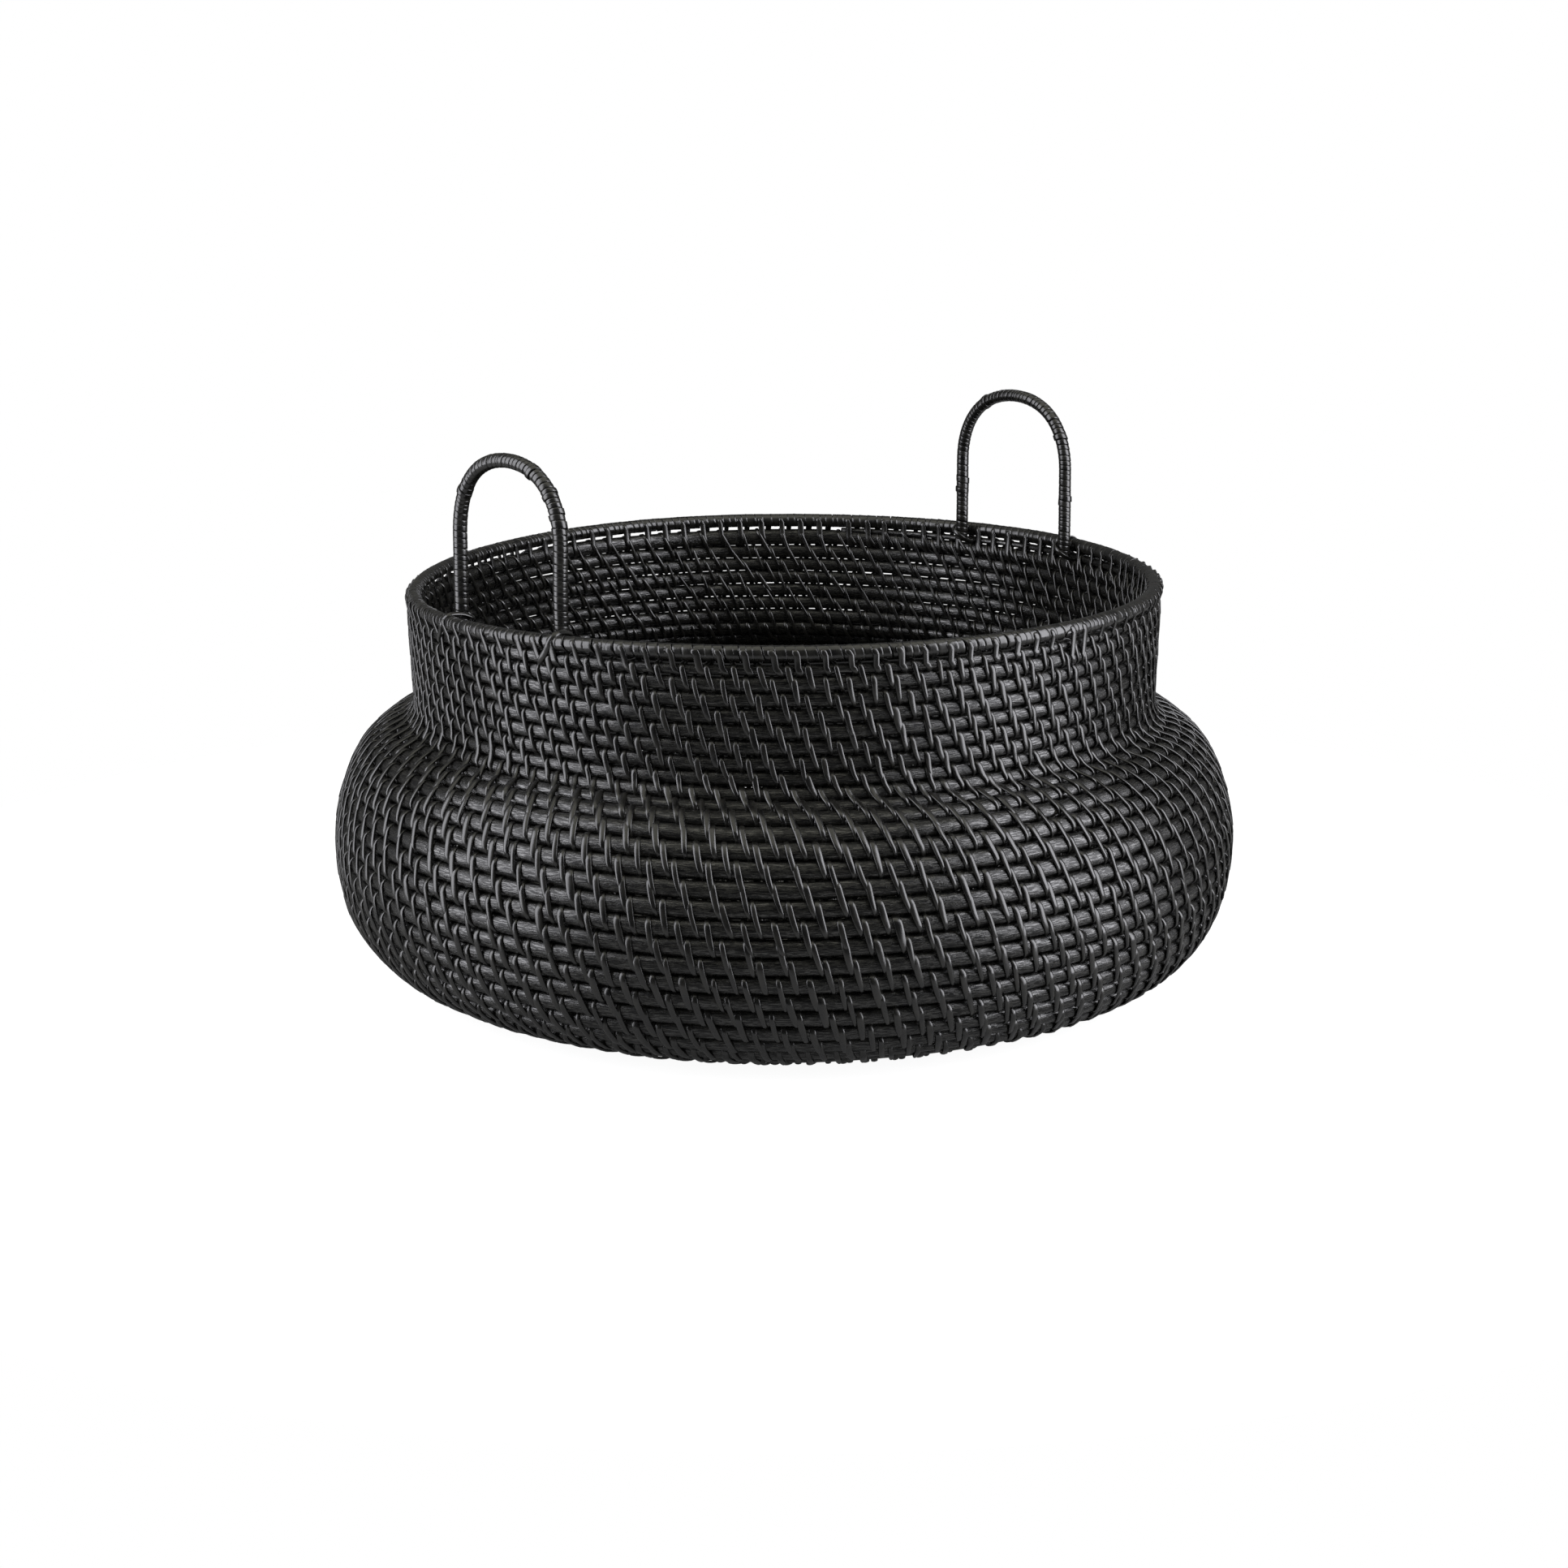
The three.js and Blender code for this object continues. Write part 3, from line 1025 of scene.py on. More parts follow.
@dataclass
class Stitching:
    """The strand of peel that winds round each turn of cane and the turn below it."""

    spiral: Spiral
    finish: bpy.types.Material
    section: PeelSection = CROWNED_PEEL
    piece_edges: tuple[int, ...] = (8, 14, 17, 20)
    per_turn: float = 102.40
    base_skips: tuple[tuple[float, int], ...] = ((40.0, 8), (80.0, 4), (150.0, 2), (math.inf, 1))
    first_stitch: float = 0.95
    place_seed: int = 31
    place_noise: float = 0.065
    place_wander: Wander = Wander(32, 0.0007, 1.7)
    corner_points: int = 5
    front_points: int = 2
    tightest: float = 8.0
    half_gap: float = 0.3
    lift: float = 0.06
    looseness: float = 0.07
    thickness: float = 1.3
    thicknesses: Pair = (0.9, 1.12)
    pressed: float = 0.86
    neck_width: float = 3.4
    body_width: float = 3.75
    widths: Pair = (0.8, 1.14)
    wide_share: float = 0.06
    wide_factor: float = 1.22
    base_pitch: float = 13.0
    base_width: float = 0.72
    over_widths: Pair = (0.8, 0.95)
    taper: float = 0.26
    taper_start: Ease = Ease(0.5, 0.5)
    inside_width: float = 0.7
    neck_length: float = 25.0
    neck_lean: float = 4.7
    body_lean: float = 6.1
    lean_noise: float = 0.85
    most_lean: float = 0.45
    bow: float = 0.3
    bow_noise: Pair = (0.04, 0.14)
    twist: float = -0.3
    twist_start: Ease = Ease(0.1, 0.7)
    twists: Pair = (0.4, 1.3)
    grain_step: float = 977.0
    seed_scale: int = 1000

    def build(self) -> None:
        """Builds one piece of stitching for each turn of the spiral, and fewer in the base."""
        places = self.stitch_turns()
        whole = range(self.piece_edges[-1] + 1, int(self.spiral.last_turn) + 1)
        edges = [places[0], *self.piece_edges, *whole, places[-1] + 1]
        for i, (low, high) in enumerate(zip(edges, edges[1:]), 1):
            inside = np.flatnonzero((places >= low) & (places < high))
            # The strand may end right at the start of a turn, with no stitch left for it.
            if len(inside) < 2:
                continue
            last = min(inside[-1] + 1, len(places) - 1)
            self.strand(f"stitching_{i:02d}", places[inside[0] : last + 1])

    def stitch_turns(self) -> np.ndarray:
        """Turns at which the strand comes over the cane.

        Returns:
            The turns, with fewer stitches to a turn near the middle of the base.
        """
        spiral = self.spiral
        places = [spiral.first_turn + self.first_stitch]
        while places[-1] < spiral.last_turn - spiral.grid_step:
            reach = float(spiral.distance(np.array(places[-1])))
            skip = next(skip for limit, skip in self.base_skips if reach < limit)
            places.append(places[-1] + skip / self.per_turn)
        turns = np.array(places)
        rng = np.random.default_rng(self.place_seed)
        jitter = rng.normal(0, self.place_noise, len(turns)) / self.per_turn
        return turns + self.place_wander.at(turns) + jitter

    @property
    def front_rings(self) -> int:
        """Rings of a stitch from the top of the upper cane, down the front, to the foot of the lower."""
        return 2 * self.corner_points + self.front_points

    def loop(self, upper: CaneSection, lower: CaneSection, proud: np.ndarray) -> np.ndarray:
        """The way of each stitch in the wall's section: down the front and back up inside.

        Args:
            upper: The turn of cane that it goes over.
            lower: The turn of cane that it goes under.
            proud: How far the strand's middle stands off the canes.

        Returns:
            Distances along the profile, distances outward, and the directions faced in radians.
        """
        quarter = np.linspace(90, 0, self.corner_points)
        reach = upper.half_width + self.half_gap
        over = arc(quarter, upper.middle, upper.outward, reach, upper.half_depth + proud)
        reach = lower.half_width + self.half_gap
        under = arc(-quarter[::-1], lower.middle, lower.outward, reach, lower.half_depth + proud)
        share = np.linspace(0, 1, self.front_points + 2)[1:-1]
        down = over[..., -1:] * (1 - share) + under[..., :1] * share
        front = np.concatenate([over, down, under], axis=-1)
        back = np.arange(self.front_rings - 2, 0, -1)
        s, out, facing = front[..., back]
        middle = np.where(back < self.front_rings / 2, upper.outward, lower.outward)
        return np.concatenate([front, np.stack([s, 2 * middle - out, math.pi - facing])], axis=-1)

    def leaning(
        self, s: np.ndarray, pitch: np.ndarray, in_neck: np.ndarray, rng: np.random.Generator
    ) -> tuple[np.ndarray, np.ndarray]:
        """How the stitches lean: aside on the way down, and on to the next stitch on the way up.

        Args:
            s: Distances along the profile, as stitches by rings.
            pitch: Distance from each stitch to the next.
            in_neck: How far each stitch is into the neck, from 0 to 1.
            rng: Source of their small differences.

        Returns:
            Distances aside, as stitches by rings, and how far down the front each front ring is.
        """
        lean = self.body_lean + (self.neck_lean - self.body_lean) * in_neck
        lean = np.minimum(lean + rng.normal(0, self.lean_noise, lean.shape), pitch * self.most_lean)
        outer = self.front_rings
        top, bottom = s[:, :1], s[:, outer - 1 : outer]
        down = (top - s[:, :outer]) / (top - bottom)
        up = (s[:, outer:] - bottom) / (top - bottom)
        bow = self.bow + rng.normal(*self.bow_noise, lean.shape)
        front = (1 - bow) * down + bow * down**2
        aside = np.concatenate([lean * front, lean + (pitch - lean) * up], axis=1)
        return aside, down.mean(axis=0)

    def sizes(
        self,
        thick: np.ndarray,
        pitch: np.ndarray,
        in_neck: np.ndarray,
        down: np.ndarray,
        rng: np.random.Generator,
    ) -> list[np.ndarray]:
        """Width, thickness and roll of the strand at each ring.

        Args:
            thick: Thickness of each stitch.
            pitch: Distance from each stitch to the next.
            in_neck: How far each stitch is into the neck, from 0 to 1.
            down: How far down the front each front ring is, from 0 to 1.
            rng: Source of the stitches' small differences.

        Returns:
            The three measures, each in one row.
        """
        wide = self.body_width + (self.neck_width - self.body_width) * in_neck
        wide *= rng.uniform(*self.widths, wide.shape)
        wide[rng.random(wide.shape) < self.wide_share] *= self.wide_factor
        wide *= np.clip(pitch / self.base_pitch, self.base_width, 1.0)
        tapered = 1.0 - self.taper * self.taper_start.at(down)
        tapered[:2] = self.over_widths
        outer = self.front_rings
        shape = np.concatenate([tapered, np.full(outer - 2, self.inside_width)])
        flattened = np.ones(len(shape))
        flattened[[0, outer - 1]] = self.pressed
        twist = np.zeros(len(shape))
        twist[:outer] = self.twist * self.twist_start.at(down)
        roll = twist * rng.uniform(*self.twists, wide.shape)
        return [self.eased(values) for values in (wide * shape, thick * flattened, roll)]

    def strand(self, name: str, turns: np.ndarray) -> None:
        """Builds one stretch of the strand.

        Args:
            name: Name of the piece.
            turns: Turns of its stitches; the last one only closes the one before it.
        """
        rng = np.random.default_rng(int(turns[0] * self.seed_scale))
        spiral, wall = self.spiral, self.spiral.wall
        here, after = turns[:-1, None], turns[1:, None]
        upper, lower = spiral.section(here), spiral.section(here - 1)
        thick = self.thickness * rng.uniform(*self.thicknesses, here.shape)
        proud = self.lift + thick / 2 + rng.exponential(self.looseness, here.shape)
        s, out, facing = self.loop(upper, lower, proud)
        reach, _, _ = wall.at(upper.middle)
        pitch = FULL_TURN * (after - here) * np.maximum(reach, self.tightest)
        in_neck = Ease(wall.throat, self.neck_length).at(lower.middle)
        aside, down = self.leaning(s, pitch, in_neck, rng)
        azimuth = spiral.azimuth(here)
        path = wall.place(s, out, azimuth, aside)
        ahead = wall.place(s + np.sin(facing), out + np.cos(facing), azimuth, aside)
        sizes = self.sizes(thick, pitch, in_neck, down, rng)
        points, grain = self.section.sweep(path.reshape(-1, 3), (ahead - path).reshape(-1, 3), *sizes)
        grain[..., 0] += self.grain_step * turns[0]
        add_piece(name, [(points, grain)], self.finish)

    @staticmethod
    def eased(values: np.ndarray) -> np.ndarray:
        """Evens out steps between neighbouring rings of the strand.

        Args:
            values: A value for each ring, as stitches by rings.

        Returns:
            The evened values, in one row.
        """
        line = values.ravel()
        padded = np.concatenate([line[:1], line, line[-1:]])
        return 0.25 * padded[:-2] + 0.5 * padded[1:-1] + 0.25 * padded[2:]


# ---------------------------------------------------------------------------- wound coverings


@dataclass(frozen=True)
class Winding:
    """A strip of peel wound closely round a core, each wrap a little raised over the last."""

    thickness: float
    mean_width: float
    spread: float
    seed: int
    unevenness: float
    widths: Pair = (0.55, 1.7)
    shingle: float = 0.03
    shingle_noise: float = 0.02
    bump_height: float = 0.75
    bump_reach: float = 1.6
    around: int = 16
    section: PeelSection = FLAT_PEEL

    def edges(self, length: float) -> np.ndarray:
        """Where one wrap ends and the next starts.

        Args:
            length: Length of core to cover.

        Returns:
            Distances along the core, from 0 to that length.
        """
        rng = np.random.default_rng(self.seed)
        count = max(2, round(length / self.mean_width))
        widths = np.clip(rng.normal(1, self.spread, count), *self.widths)
        return np.concatenate([[0], widths.cumsum()]) * length / widths.sum()

    def wind(
        self,
        length: float,
        radius: float,
        frames_at: Callable[[np.ndarray], Frames],
        bumps: tuple[float, ...] = (),
    ) -> Tube:
        """Winds the strip round a core.

        Args:
            length: Length of core to cover.
            radius: Outer radius of the covering.
            frames_at: Gives the core's middle and its two section directions at distances.
            bumps: Distances at which a hidden strip end makes the covering thicker.

        Returns:
            The strip's tube.
        """
        edges = self.edges(length)
        rng = np.random.default_rng(self.seed + 1)
        count = len(edges) - 1
        turn = np.arange(count * self.around + 1) / self.around
        along = np.interp(turn, np.arange(count + 1), edges)
        of_wraps = partial(np.interp, turn, np.arange(count) + 0.5)
        width = of_wraps(np.diff(edges))
        raised = of_wraps(rng.normal(0, self.unevenness, count))
        tilt = of_wraps(rng.normal(self.shingle, self.shingle_noise, count))
        for bump in bumps:
            raised += self.bump_height * np.exp(-(((along - bump) / self.bump_reach) ** 2))
        middle, first, second = frames_at(along)
        angle = FULL_TURN * turn[:, None]
        outward = np.cos(angle) * first + np.sin(angle) * second
        path = middle + outward * (radius - self.thickness / 2 + raised)[:, None]
        return self.section.sweep(path, outward, width, np.full(len(turn), self.thickness), tilt)


@dataclass
class Rim:
    """The rim: a cane wound closely with peel, with longer stitches over it and the first turn.

    Its waves are small faults, each with its number round the rim, its phase and its reach.
    """

    spiral: Spiral
    stitching: Stitching
    finish: bpy.types.Material
    core_finish: bpy.types.Material
    winding: Winding = Winding(thickness=0.95, mean_width=5.1, spread=0.3, seed=71, unevenness=0.07)
    parts: int = 4
    radius: float = 4.6
    core_radius: float = 3.2
    core_rings: int = 240
    round_waves: tuple[tuple[int, float, float], ...] = ((4, 1.0, 0.3),)
    level_waves: tuple[tuple[int, float, float], ...] = ((3, 0.7, 0.35), (5, 2.1, 0.25))
    section: PeelSection = CROWNED_PEEL
    stitch_seed: int = 91
    stitch_noise: float = 0.06
    stitch_set_back: float = 2.4
    stitch_width: float = 3.7
    stitch_widths: Pair = (0.85, 1.2)
    stitch_ends: Pair = (0.8, 0.75)
    stitch_thickness: float = 1.15
    stitch_lean: float = 5.2
    lean_noise: float = 1.0
    lean_start: Ease = Ease(0.02, 0.5)
    inside_lean: float = 3.0
    inside_start: Ease = Ease(0.6, 0.4)
    least_cane: float = 2.6
    rim_proud: float = 0.42
    tucked: float = 0.75
    cane_proud: Pair = (0.55, 0.62)
    over_angles: tuple[int, ...] = (46, 34, 22, 10, -4)
    cane_angles: tuple[int, ...] = (25, 5, -20, -45, -70, -90, -110, -135, -160, -180, -200)
    inside_angles: tuple[int, ...] = (-165, -182, -199, -216)
    grain_step: float = 61.0

    def build(self) -> None:
        """Builds the four wound parts and the longer stitches, and finishes the hidden cane."""
        radius, _ = self.spiral.wall.rim_centre
        share = FULL_TURN / self.parts
        for i in range(self.parts):
            winding = replace(self.winding, seed=self.winding.seed + i)
            tube = winding.wind(share * radius, self.radius, partial(self.frames_at, i * share))
            add_piece(f"rim_winding_{i + 1}", [tube], self.finish, (f"rim_wrap_{i + 1}",))
        self.long_stitches()
        around = np.linspace(0, FULL_TURN * radius, self.core_rings, endpoint=False)
        tube = round_core(self.frames_at(0.0, around), self.core_radius)
        add_piece("rim_core", [tube], self.core_finish, ("rim_cane",), closed=True)

    def frames_at(self, start: float, along: np.ndarray) -> Frames:
        """The rim's middle and its section directions.

        Args:
            start: Angle round the basket at which the distances start.
            along: Distances along the rim.

        Returns:
            Points, outward directions and downward directions.
        """
        radius, height = self.spiral.wall.rim_centre
        azimuth = start + along / radius
        wave, level = (
            sum(reach * np.sin(azimuth * count + phase) for count, phase, reach in waves)
            for waves in (self.round_waves, self.level_waves)
        )
        outward, upward = round_directions(azimuth)
        middle = outward * (radius + wave)[:, None] + upward * (height + level)[:, None]
        return middle, outward, -upward

    def long_stitches(self) -> None:
        """Builds the stitches that tie the rim to the first turn of cane."""
        spiral = self.spiral
        radius, _ = spiral.wall.rim_centre
        rng = np.random.default_rng(self.stitch_seed)
        per_turn = self.stitching.per_turn
        start = float(self.stitching.stitch_turns()[-1])
        tubes = []
        for i in range(1, math.floor(per_turn) + 1):
            above = start + (i + rng.normal(0, self.stitch_noise)) / per_turn
            azimuth = float(spiral.azimuth(np.array(above))) - self.stitch_set_back / radius
            cane = spiral.cane_at(min(above - 1, spiral.last_turn), self.least_cane)
            path, facing = self.stitch_path(azimuth, cane, rng)
            width = np.full(len(path), self.stitch_width * rng.uniform(*self.stitch_widths))
            width[:2] *= self.stitch_ends[0]
            width[-3:] *= self.stitch_ends[1]
            thick = np.full(len(path), self.stitch_thickness)
            points, grain = self.section.sweep(path, facing, width, thick, np.zeros(len(path)))
            grain[..., 0] += self.grain_step * i
            tubes.append((points, grain))
        add_piece("rim_long_stitches", tubes, self.finish)

    def stitch_path(
        self, azimuth: float, cane: CaneSection, rng: np.random.Generator
    ) -> tuple[np.ndarray, np.ndarray]:
        """The path of one long stitch: over the rim, round the cane below and back up inside.

        Args:
            azimuth: Where it comes over the rim.
            cane: The cane below.
            rng: Source of its small differences.

        Returns:
            Points of the path, and the direction that its crown faces.
        """
        wall = self.spiral.wall
        over = np.full(len(self.over_angles), self.radius + self.rim_proud)
        inside = np.full(len(self.inside_angles), self.radius + self.rim_proud)
        over[0] = inside[-1] = self.radius - self.tucked
        across, deep = cane.half_width + self.cane_proud[0], cane.half_depth + self.cane_proud[1]
        s, out, facing = np.concatenate(
            [
                arc(self.over_angles, wall.length, wall.rim_offset, over, over),
                arc(self.cane_angles, cane.middle, cane.outward, across, deep),
                arc(self.inside_angles, wall.length, wall.rim_offset, inside, inside),
            ],
            axis=1,
        )
        share = np.linspace(0, 1, len(s))
        lean = self.stitch_lean + rng.normal(0, self.lean_noise)
        aside = lean * self.lean_start.at(share) + self.inside_lean * self.inside_start.at(share)
        where = np.full(len(s), azimuth)
        path = wall.place(s, out, where, aside)
        ahead = wall.place(s + np.sin(facing), out + np.cos(facing), where, aside)
        return path, ahead - path


# ---------------------------------------------------------------------------- handles


@dataclass
class Handle:
    """One arched handle, wound with peel, with a tie at each foot.

    It is worked out at +X and then turned to its side.
    """

    side: Side
    rim: Rim
    finish: bpy.types.Material
    core_finish: bpy.types.Material
    ties: tuple[Weight, Weight]
    seed: int
    plane: float = 218.4
    span: float = 94.0
    rise: float = 103.0
    shift: float = 0.0
    fullness: float = 0.035
    radius: float = 4.1
    top_cover: float = 4.2
    core_radius: float = 2.9
    core_rings: int = 90
    winding: Winding = Winding(thickness=0.85, mean_width=3.3, spread=0.24, seed=0, unevenness=0.02)
    bumps: int = 5
    bump_margin: float = 20.0
    sway_length: float = 30.0
    along_sway: Pair = (0.5, 130.0)
    across_sway: Pair = (0.7, 150.0)
    section: PeelSection = CROWNED_PEEL
    tie_rings: int = 84
    tie_width: float = 3.0
    tie_thickness: float = 1.25
    tie_proud: float = 0.75
    least_cane: float = 1.6
    half_gap: float = 0.3

    @property
    def name(self) -> str:
        """Name of its side, for the names of its pieces."""
        return self.side.name.lower()

    @property
    def leg(self) -> float:
        """Length of one leg, from the underside of the rim to where the arch starts."""
        return self.rim.radius + self.rise - self.top_cover - self.span / 2

    @property
    def length(self) -> float:
        """Length of the handle's middle line."""
        return 2 * self.leg + math.pi * self.span / 2

    def turned(self, vectors: np.ndarray) -> np.ndarray:
        """Turns what is made at +X to this handle's side."""
        return vectors * np.array([self.side.value, self.side.value, 1])

    def centre_line(self, along: np.ndarray) -> Frames:
        """The handle's middle and its section directions.

        Args:
            along: Distances along the handle from its first foot.

        Returns:
            Points, inward directions in the arch's plane and directions across it.
        """
        _, rim_height = self.rim.spiral.wall.rim_centre
        arch = self.span / 2
        foot = rim_height - self.rim.radius
        angle = np.clip((along - self.leg) / arch, 0, math.pi)
        past = np.maximum(along - self.leg - math.pi * arch, 0)
        full = arch * (1 + self.fullness * np.sin(2 * angle) ** 2)
        sway = np.clip(np.minimum(along, self.length - along) / self.sway_length, 0, 1)
        x = self.plane + sway * Wander(self.seed + 1, *self.across_sway).at(along)
        y = self.shift - full * np.cos(angle) + sway * Wander(self.seed, *self.along_sway).at(along)
        z = foot + np.minimum(along, self.leg) + full * np.sin(angle) - past
        inward = np.stack([0 * y, np.cos(angle), -np.sin(angle)], axis=-1)
        across = np.broadcast_to([1.0, 0.0, 0.0], inward.shape)
        return tuple(self.turned(v) for v in (np.stack([x, y, z], axis=-1), inward, across))

    def build(self) -> None:
        """Builds the winding and the two ties, and finishes the hidden cane."""
        rng = np.random.default_rng(self.seed + 5)
        bumps = tuple(rng.uniform(self.bump_margin, self.length - self.bump_margin, self.bumps))
        winding = replace(self.winding, seed=self.seed)
        tube = winding.wind(self.length, self.radius, self.centre_line, bumps)
        nodes = (f"{self.name}_handle_wrap",)
        add_piece(f"{self.name}_handle_winding", [tube], self.finish, nodes)
        for number, (foot, weight) in enumerate(zip((-1, 1), self.ties), 1):
            self.tie(number, foot, weight)
        tube = round_core(self.centre_line(np.linspace(0, self.length, self.core_rings)), self.core_radius)
        nodes = (f"{self.name}_handle_cane",)
        add_piece(f"{self.name}_handle_core", [tube], self.core_finish, nodes)

    def tie(self, number: int, foot: int, weight: Weight) -> None:
        """Builds the strip that ties one foot to the rim.

        Args:
            number: Number of the tie, 1 or 2.
            foot: Side of the foot before the handle is turned, -1 or 1.
            weight: How bold the tie is.
        """
        wall = self.rim.spiral.wall
        azimuth = math.atan2(foot * self.span / 2 + self.shift, self.plane)
        azimuth += 0.0 if self.side is Side.RIGHT else math.pi
        aside, out, s = self.rounded(self.tie_loop(azimuth)).T
        where = np.full(self.tie_rings, azimuth)
        path = wall.place(np.minimum(s, wall.length), out, where, aside)
        path[:, 2] += np.maximum(s - wall.length, 0)
        facing = unit(path - path.mean(axis=0))
        path, facing = (np.concatenate([v, v[:1]]) for v in (path, facing))
        width = np.full(len(path), self.tie_width * weight.value)
        thick = np.full(len(path), self.tie_thickness * weight.value)
        points, grain = self.section.sweep(path, facing, width, thick, np.zeros(len(path)))
        tube = points[:-1], grain[:-1]
        nodes = (f"{self.name}_lashing_{number}",)
        add_piece(f"{self.name}_foot_tie_{number}", [tube], self.finish, nodes, closed=True)

    def tie_loop(self, azimuth: float) -> np.ndarray:
        """The way of a tie: in front of the rim, through the slit under the cane and up behind the leg.

        Args:
            azimuth: Angle of the foot round the basket.

        Returns:
            Knots, each a distance along the rim, outward and along the profile.
        """
        wall = self.rim.spiral.wall
        top = wall.length
        low = self.slit_below(azimuth)
        front = wall.rim_offset + self.rim.radius + self.tie_proud
        return np.array([
            (6.6, 0.6, top + 5.3),
            (6.0, front - 1.8, top + 3.2),
            (4.4, front, top - 0.6),
            (1.6, front - 0.3, top - 5.2),
            (-1.6, 5.9, (low + top - 5.2) / 2),
            (-4.4, 4.6, low + 1.4),
            (-5.8, 0.8, low),
            (-6.2, -4.4, low + 1.4),
            (-5.6, -8.6, top - 8.0),
            (-3.8, -15.2, top - 4.4),
            (0.4, -17.0, top - 1.2),
            (4.6, -14.6, top + 1.4),
            (5.8, -7.4, top + 4.4),
        ])

    def slit_below(self, azimuth: float) -> float:
        """Where the slit under the first whole turn of cane is.

        Args:
            azimuth: Angle round the basket.

        Returns:
            Its distance along the profile.
        """
        spiral = self.rim.spiral
        turn = spiral.last_turn + (azimuth - math.radians(spiral.end_azimuth)) / FULL_TURN
        turn -= math.ceil(turn - spiral.last_turn - 1e-9)
        cane = spiral.cane_at(turn, self.least_cane)
        return cane.middle - cane.half_width - self.half_gap

    def rounded(self, knots: np.ndarray) -> np.ndarray:
        """A smooth closed curve through a loop of knots.

        Args:
            knots: The loop.

        Returns:
            Points of the curve, one for each ring of a tie.
        """
        share = np.linspace(0, len(knots), self.tie_rings, endpoint=False)
        i = share.astype(int)
        t = (share - i)[:, None]
        before, start, end, past = (knots[(i + k) % len(knots)] for k in (-1, 0, 1, 2))
        return 0.5 * (
            2 * start
            + (end - before) * t
            + (2 * before - 5 * start + 4 * end - past) * t**2
            + (3 * start - before - 3 * end + past) * t**3
        )


# ---------------------------------------------------------------------------- studio


@dataclass(frozen=True)
class Softbox:
    """One rectangular lamp, placed in metres by its angle from the camera and aimed at the basket."""

    name: str
    turn: float
    reach: float
    height: float
    size: Pair
    power: float
    colour: Colour


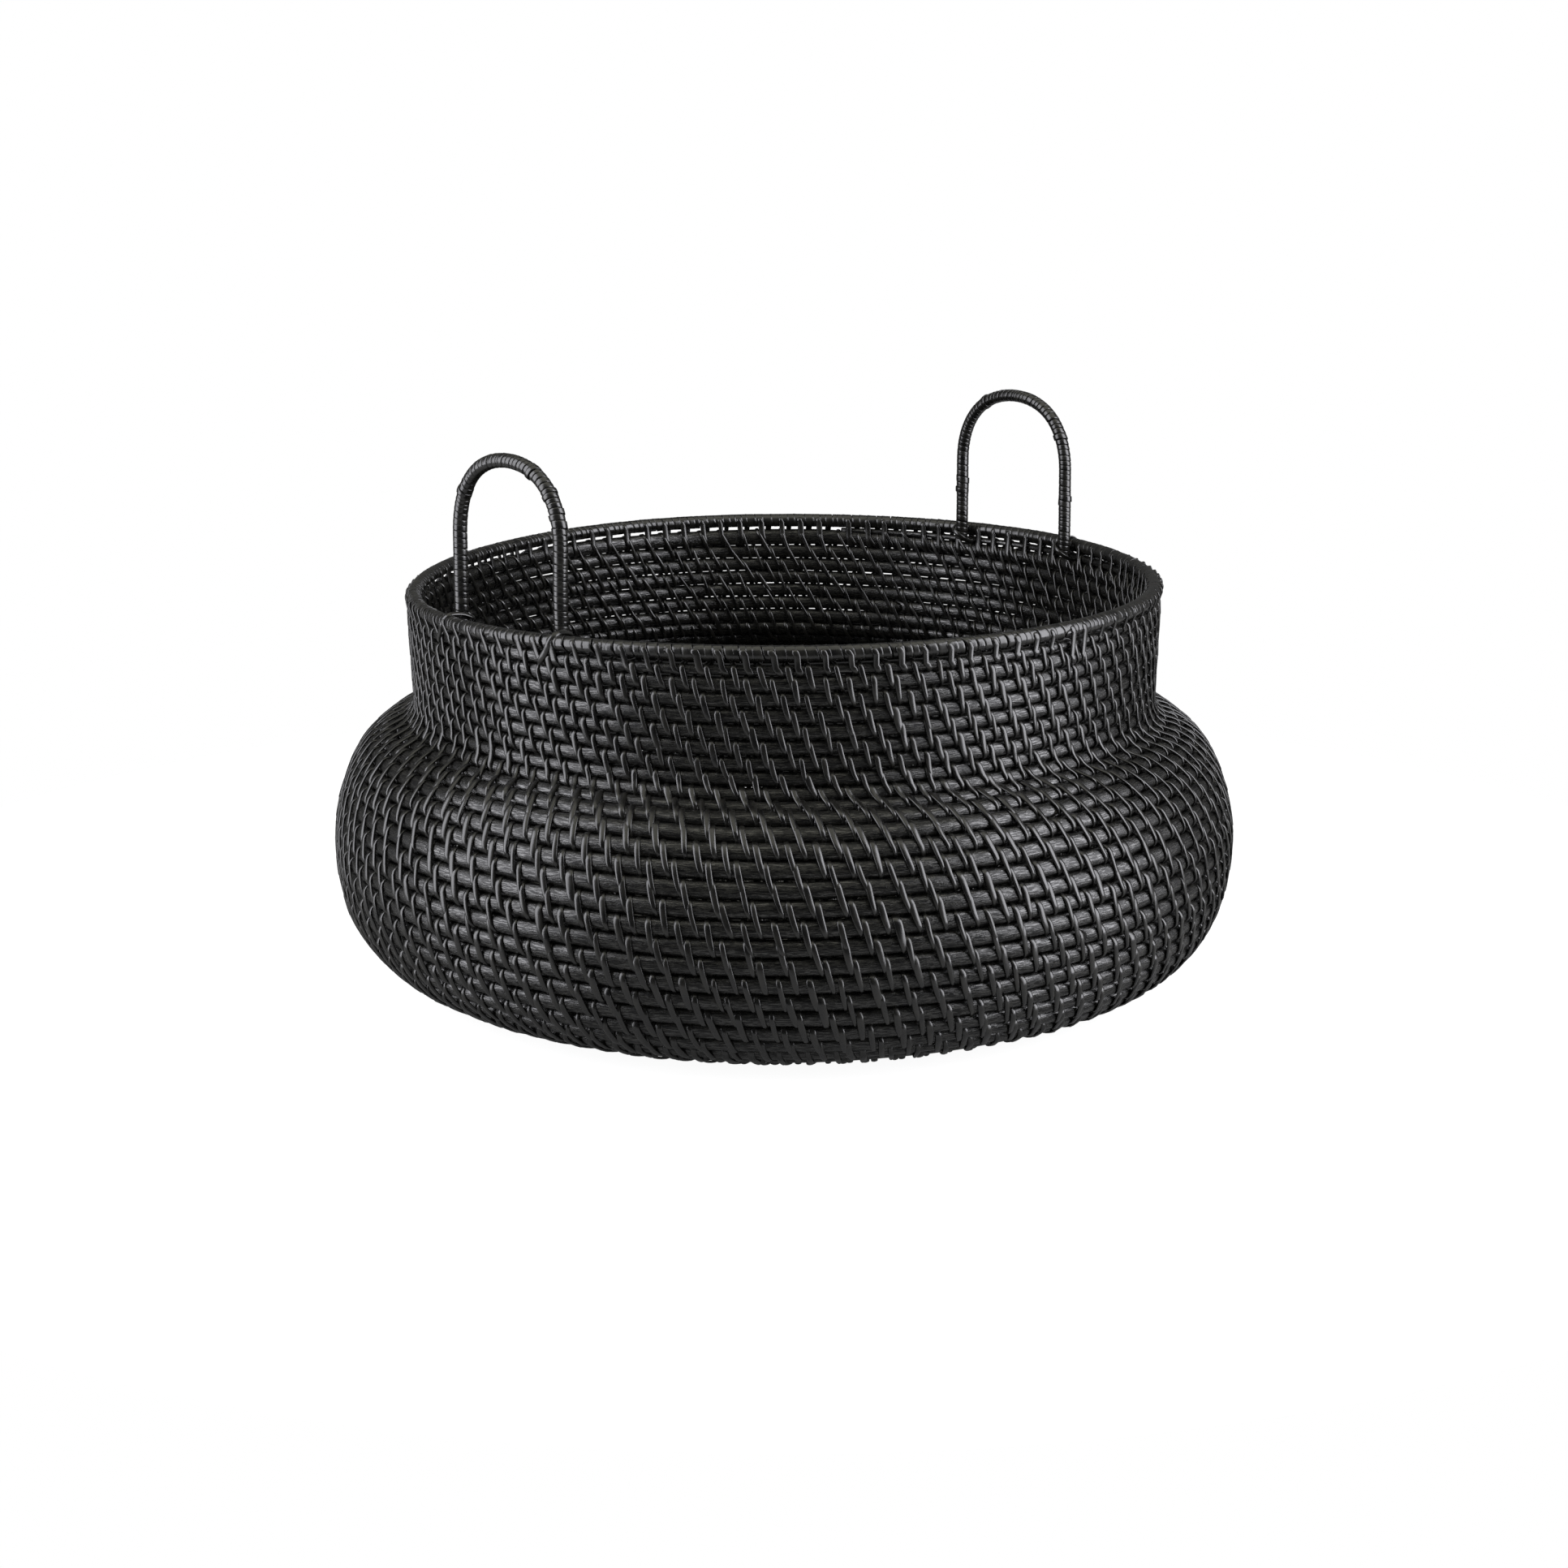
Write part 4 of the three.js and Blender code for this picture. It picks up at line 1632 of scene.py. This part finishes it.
@dataclass
class Studio:
    """Camera, floor, backdrop and soft lamps."""

    spiral: Spiral
    view_azimuth: float = 226.2
    distance: float = 1752.0
    camera_rise: float = 317.0
    pitch: float = 14.493
    focal_length: float = 63.81
    sensor_width: float = 36.0
    clip_end: float = 100.0
    floor_radius: float = 0.7
    floor_corners: int = 96
    floor_paint: Colour = (0.22, 0.22, 0.22)
    seen_floor: float = 0.94
    mirrored_floor: float = 0.1
    mirrored_world: Pair = (0.05, 0.12)
    front_to_back: Pair = (0.1, -0.9)
    ambient: float = 0.3
    highest_aim: float = 0.35
    boxes: tuple[Softbox, ...] = (
        Softbox("left_softbox", -72.0, 1.25, 0.62, (1.0, 1.9), 22.0, (0.95, 0.95, 1.0)),
        Softbox("right_softbox", 71.0, 1.25, 0.62, (1.0, 1.9), 29.5, (0.95, 0.95, 1.0)),
        Softbox("top_softbox", 0.0, 0.15, 2.3, (2.6, 2.6), 14.5, (1.0, 0.98, 0.84)),
    )

    def build(self) -> None:
        """Builds the whole studio."""
        self.camera()
        self.floor()
        self.world()
        for lamp_box in self.boxes:
            self.lamp(lamp_box)
        bpy.context.scene.view_settings.view_transform = "Standard"

    def toward(self, turn: float = 0.0) -> Pair:
        """Level direction from the basket to the camera, turned by some degrees.

        Args:
            turn: The degrees, counter-clockwise from above.

        Returns:
            Its X and Y.
        """
        angle = math.radians(self.view_azimuth + turn)
        return math.cos(angle), math.sin(angle)

    def camera(self) -> None:
        """Places the camera."""
        _, rim_height = self.spiral.wall.rim_centre
        data = bpy.data.cameras.new("camera")
        data.lens = self.focal_length
        data.sensor_width = self.sensor_width
        data.clip_end = self.clip_end
        camera = bpy.data.objects.new("camera", data)
        x, y = self.toward()
        height = rim_height + self.camera_rise
        camera.location = (self.distance * MM * x, self.distance * MM * y, height * MM)
        turn = math.radians(self.view_azimuth) + math.pi / 2
        camera.rotation_euler = (math.radians(90 - self.pitch), 0, turn)
        bpy.context.scene.collection.objects.link(camera)
        bpy.context.scene.camera = camera

    def floor(self) -> None:
        """Lays a round pale floor that keeps the basket's shadow."""
        mesh = bpy.data.meshes.new("floor")
        corners = [FULL_TURN * i / self.floor_corners for i in range(self.floor_corners)]
        rim = [(self.floor_radius * math.cos(a), self.floor_radius * math.sin(a), 0) for a in corners]
        mesh.from_pydata(rim, [], [tuple(range(self.floor_corners))])
        floor = bpy.data.objects.new("floor", mesh)
        bpy.context.scene.collection.objects.link(floor)
        nodes = Nodes(bpy.data.materials.new("floor_pale"))
        rays = nodes.add("LightPath")
        seen = nodes.combine("MULTIPLY", nodes.seen_by_eye(rays), self.seen_floor)
        mirrored = nodes.combine("MULTIPLY", rays.outputs["Is Glossy Ray"], self.mirrored_floor)
        glow = nodes.add("Emission", Color=WHITE)
        nodes.link(nodes.combine("MAXIMUM", seen, mirrored), glow.inputs["Strength"])
        paint = nodes.add("BsdfDiffuse", Color=(*self.floor_paint, 1.0))
        both = nodes.add("AddShader")
        nodes.link(glow.outputs[0], both.inputs[0])
        nodes.link(paint.outputs[0], both.inputs[1])
        floor.data.materials.append(nodes.finish(both.outputs[0]))

    def world(self) -> None:
        """Makes the surroundings: white where they are seen, soft grey as light, dim in reflections."""
        nodes = Nodes(bpy.data.worlds.new("studio"))
        rays = nodes.add("LightPath")
        where = nodes.add("TexCoord")
        facing = nodes.add("VectorMath", operation="DOT_PRODUCT")
        facing.inputs[1].default_value = (*self.toward(), 0)
        nodes.link(where.outputs["Generated"], facing.inputs[0])
        mirrored = nodes.spread(facing.outputs["Value"], self.mirrored_world, self.front_to_back)
        mirrored = nodes.combine("MULTIPLY", rays.outputs["Is Glossy Ray"], mirrored)
        seen = nodes.combine("MAXIMUM", nodes.seen_by_eye(rays), mirrored)
        soft = nodes.combine("MULTIPLY", rays.outputs["Is Diffuse Ray"], self.ambient)
        back = nodes.add("Background", Color=WHITE)
        nodes.link(nodes.combine("MAXIMUM", seen, soft), back.inputs["Strength"])
        bpy.context.scene.world = nodes.finish(back.outputs[0])

    def lamp(self, lamp_box: Softbox) -> None:
        """Hangs one softbox.

        Args:
            lamp_box: Its place, size and light.
        """
        data = bpy.data.lights.new(lamp_box.name, "AREA")
        data.shape = "RECTANGLE"
        data.size, data.size_y = lamp_box.size
        data.energy = lamp_box.power
        data.color = lamp_box.colour
        lamp = bpy.data.objects.new(lamp_box.name, data)
        x, y = self.toward(lamp_box.turn)
        lamp.location = (lamp_box.reach * x, lamp_box.reach * y, lamp_box.height)
        aim = Vector((0, 0, min(lamp_box.height, self.highest_aim))) - lamp.location
        lamp.rotation_euler = aim.to_track_quat("-Z", "Y").to_euler()
        lamp.visible_camera = False
        bpy.context.scene.collection.objects.link(lamp)


def main() -> None:
    """Builds the basket and its studio."""
    logging.basicConfig(level=logging.INFO, format="%(name)s: %(message)s")
    log.info("frame: %d CAD nodes", len(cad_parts))
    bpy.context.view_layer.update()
    spiral = Spiral(WallProfile())
    Studio(spiral).build()
    cane = CaneFinish().material()
    peel = PeelFinish().material()
    FoundationCanes(spiral, cane).build()
    stitching = Stitching(spiral, peel)
    stitching.build()
    rim = Rim(spiral, stitching, peel, cane)
    rim.build()
    Handle(Side.RIGHT, rim, peel, cane, (Weight.PLAIN, Weight.PLAIN), seed=41).build()
    left_ties = (Weight.PLAIN, Weight.BOLD)
    Handle(Side.LEFT, rim, peel, cane, left_ties, seed=57, radius=4.35, shift=-4.0).build()


if __name__ == "__main__":
    main()
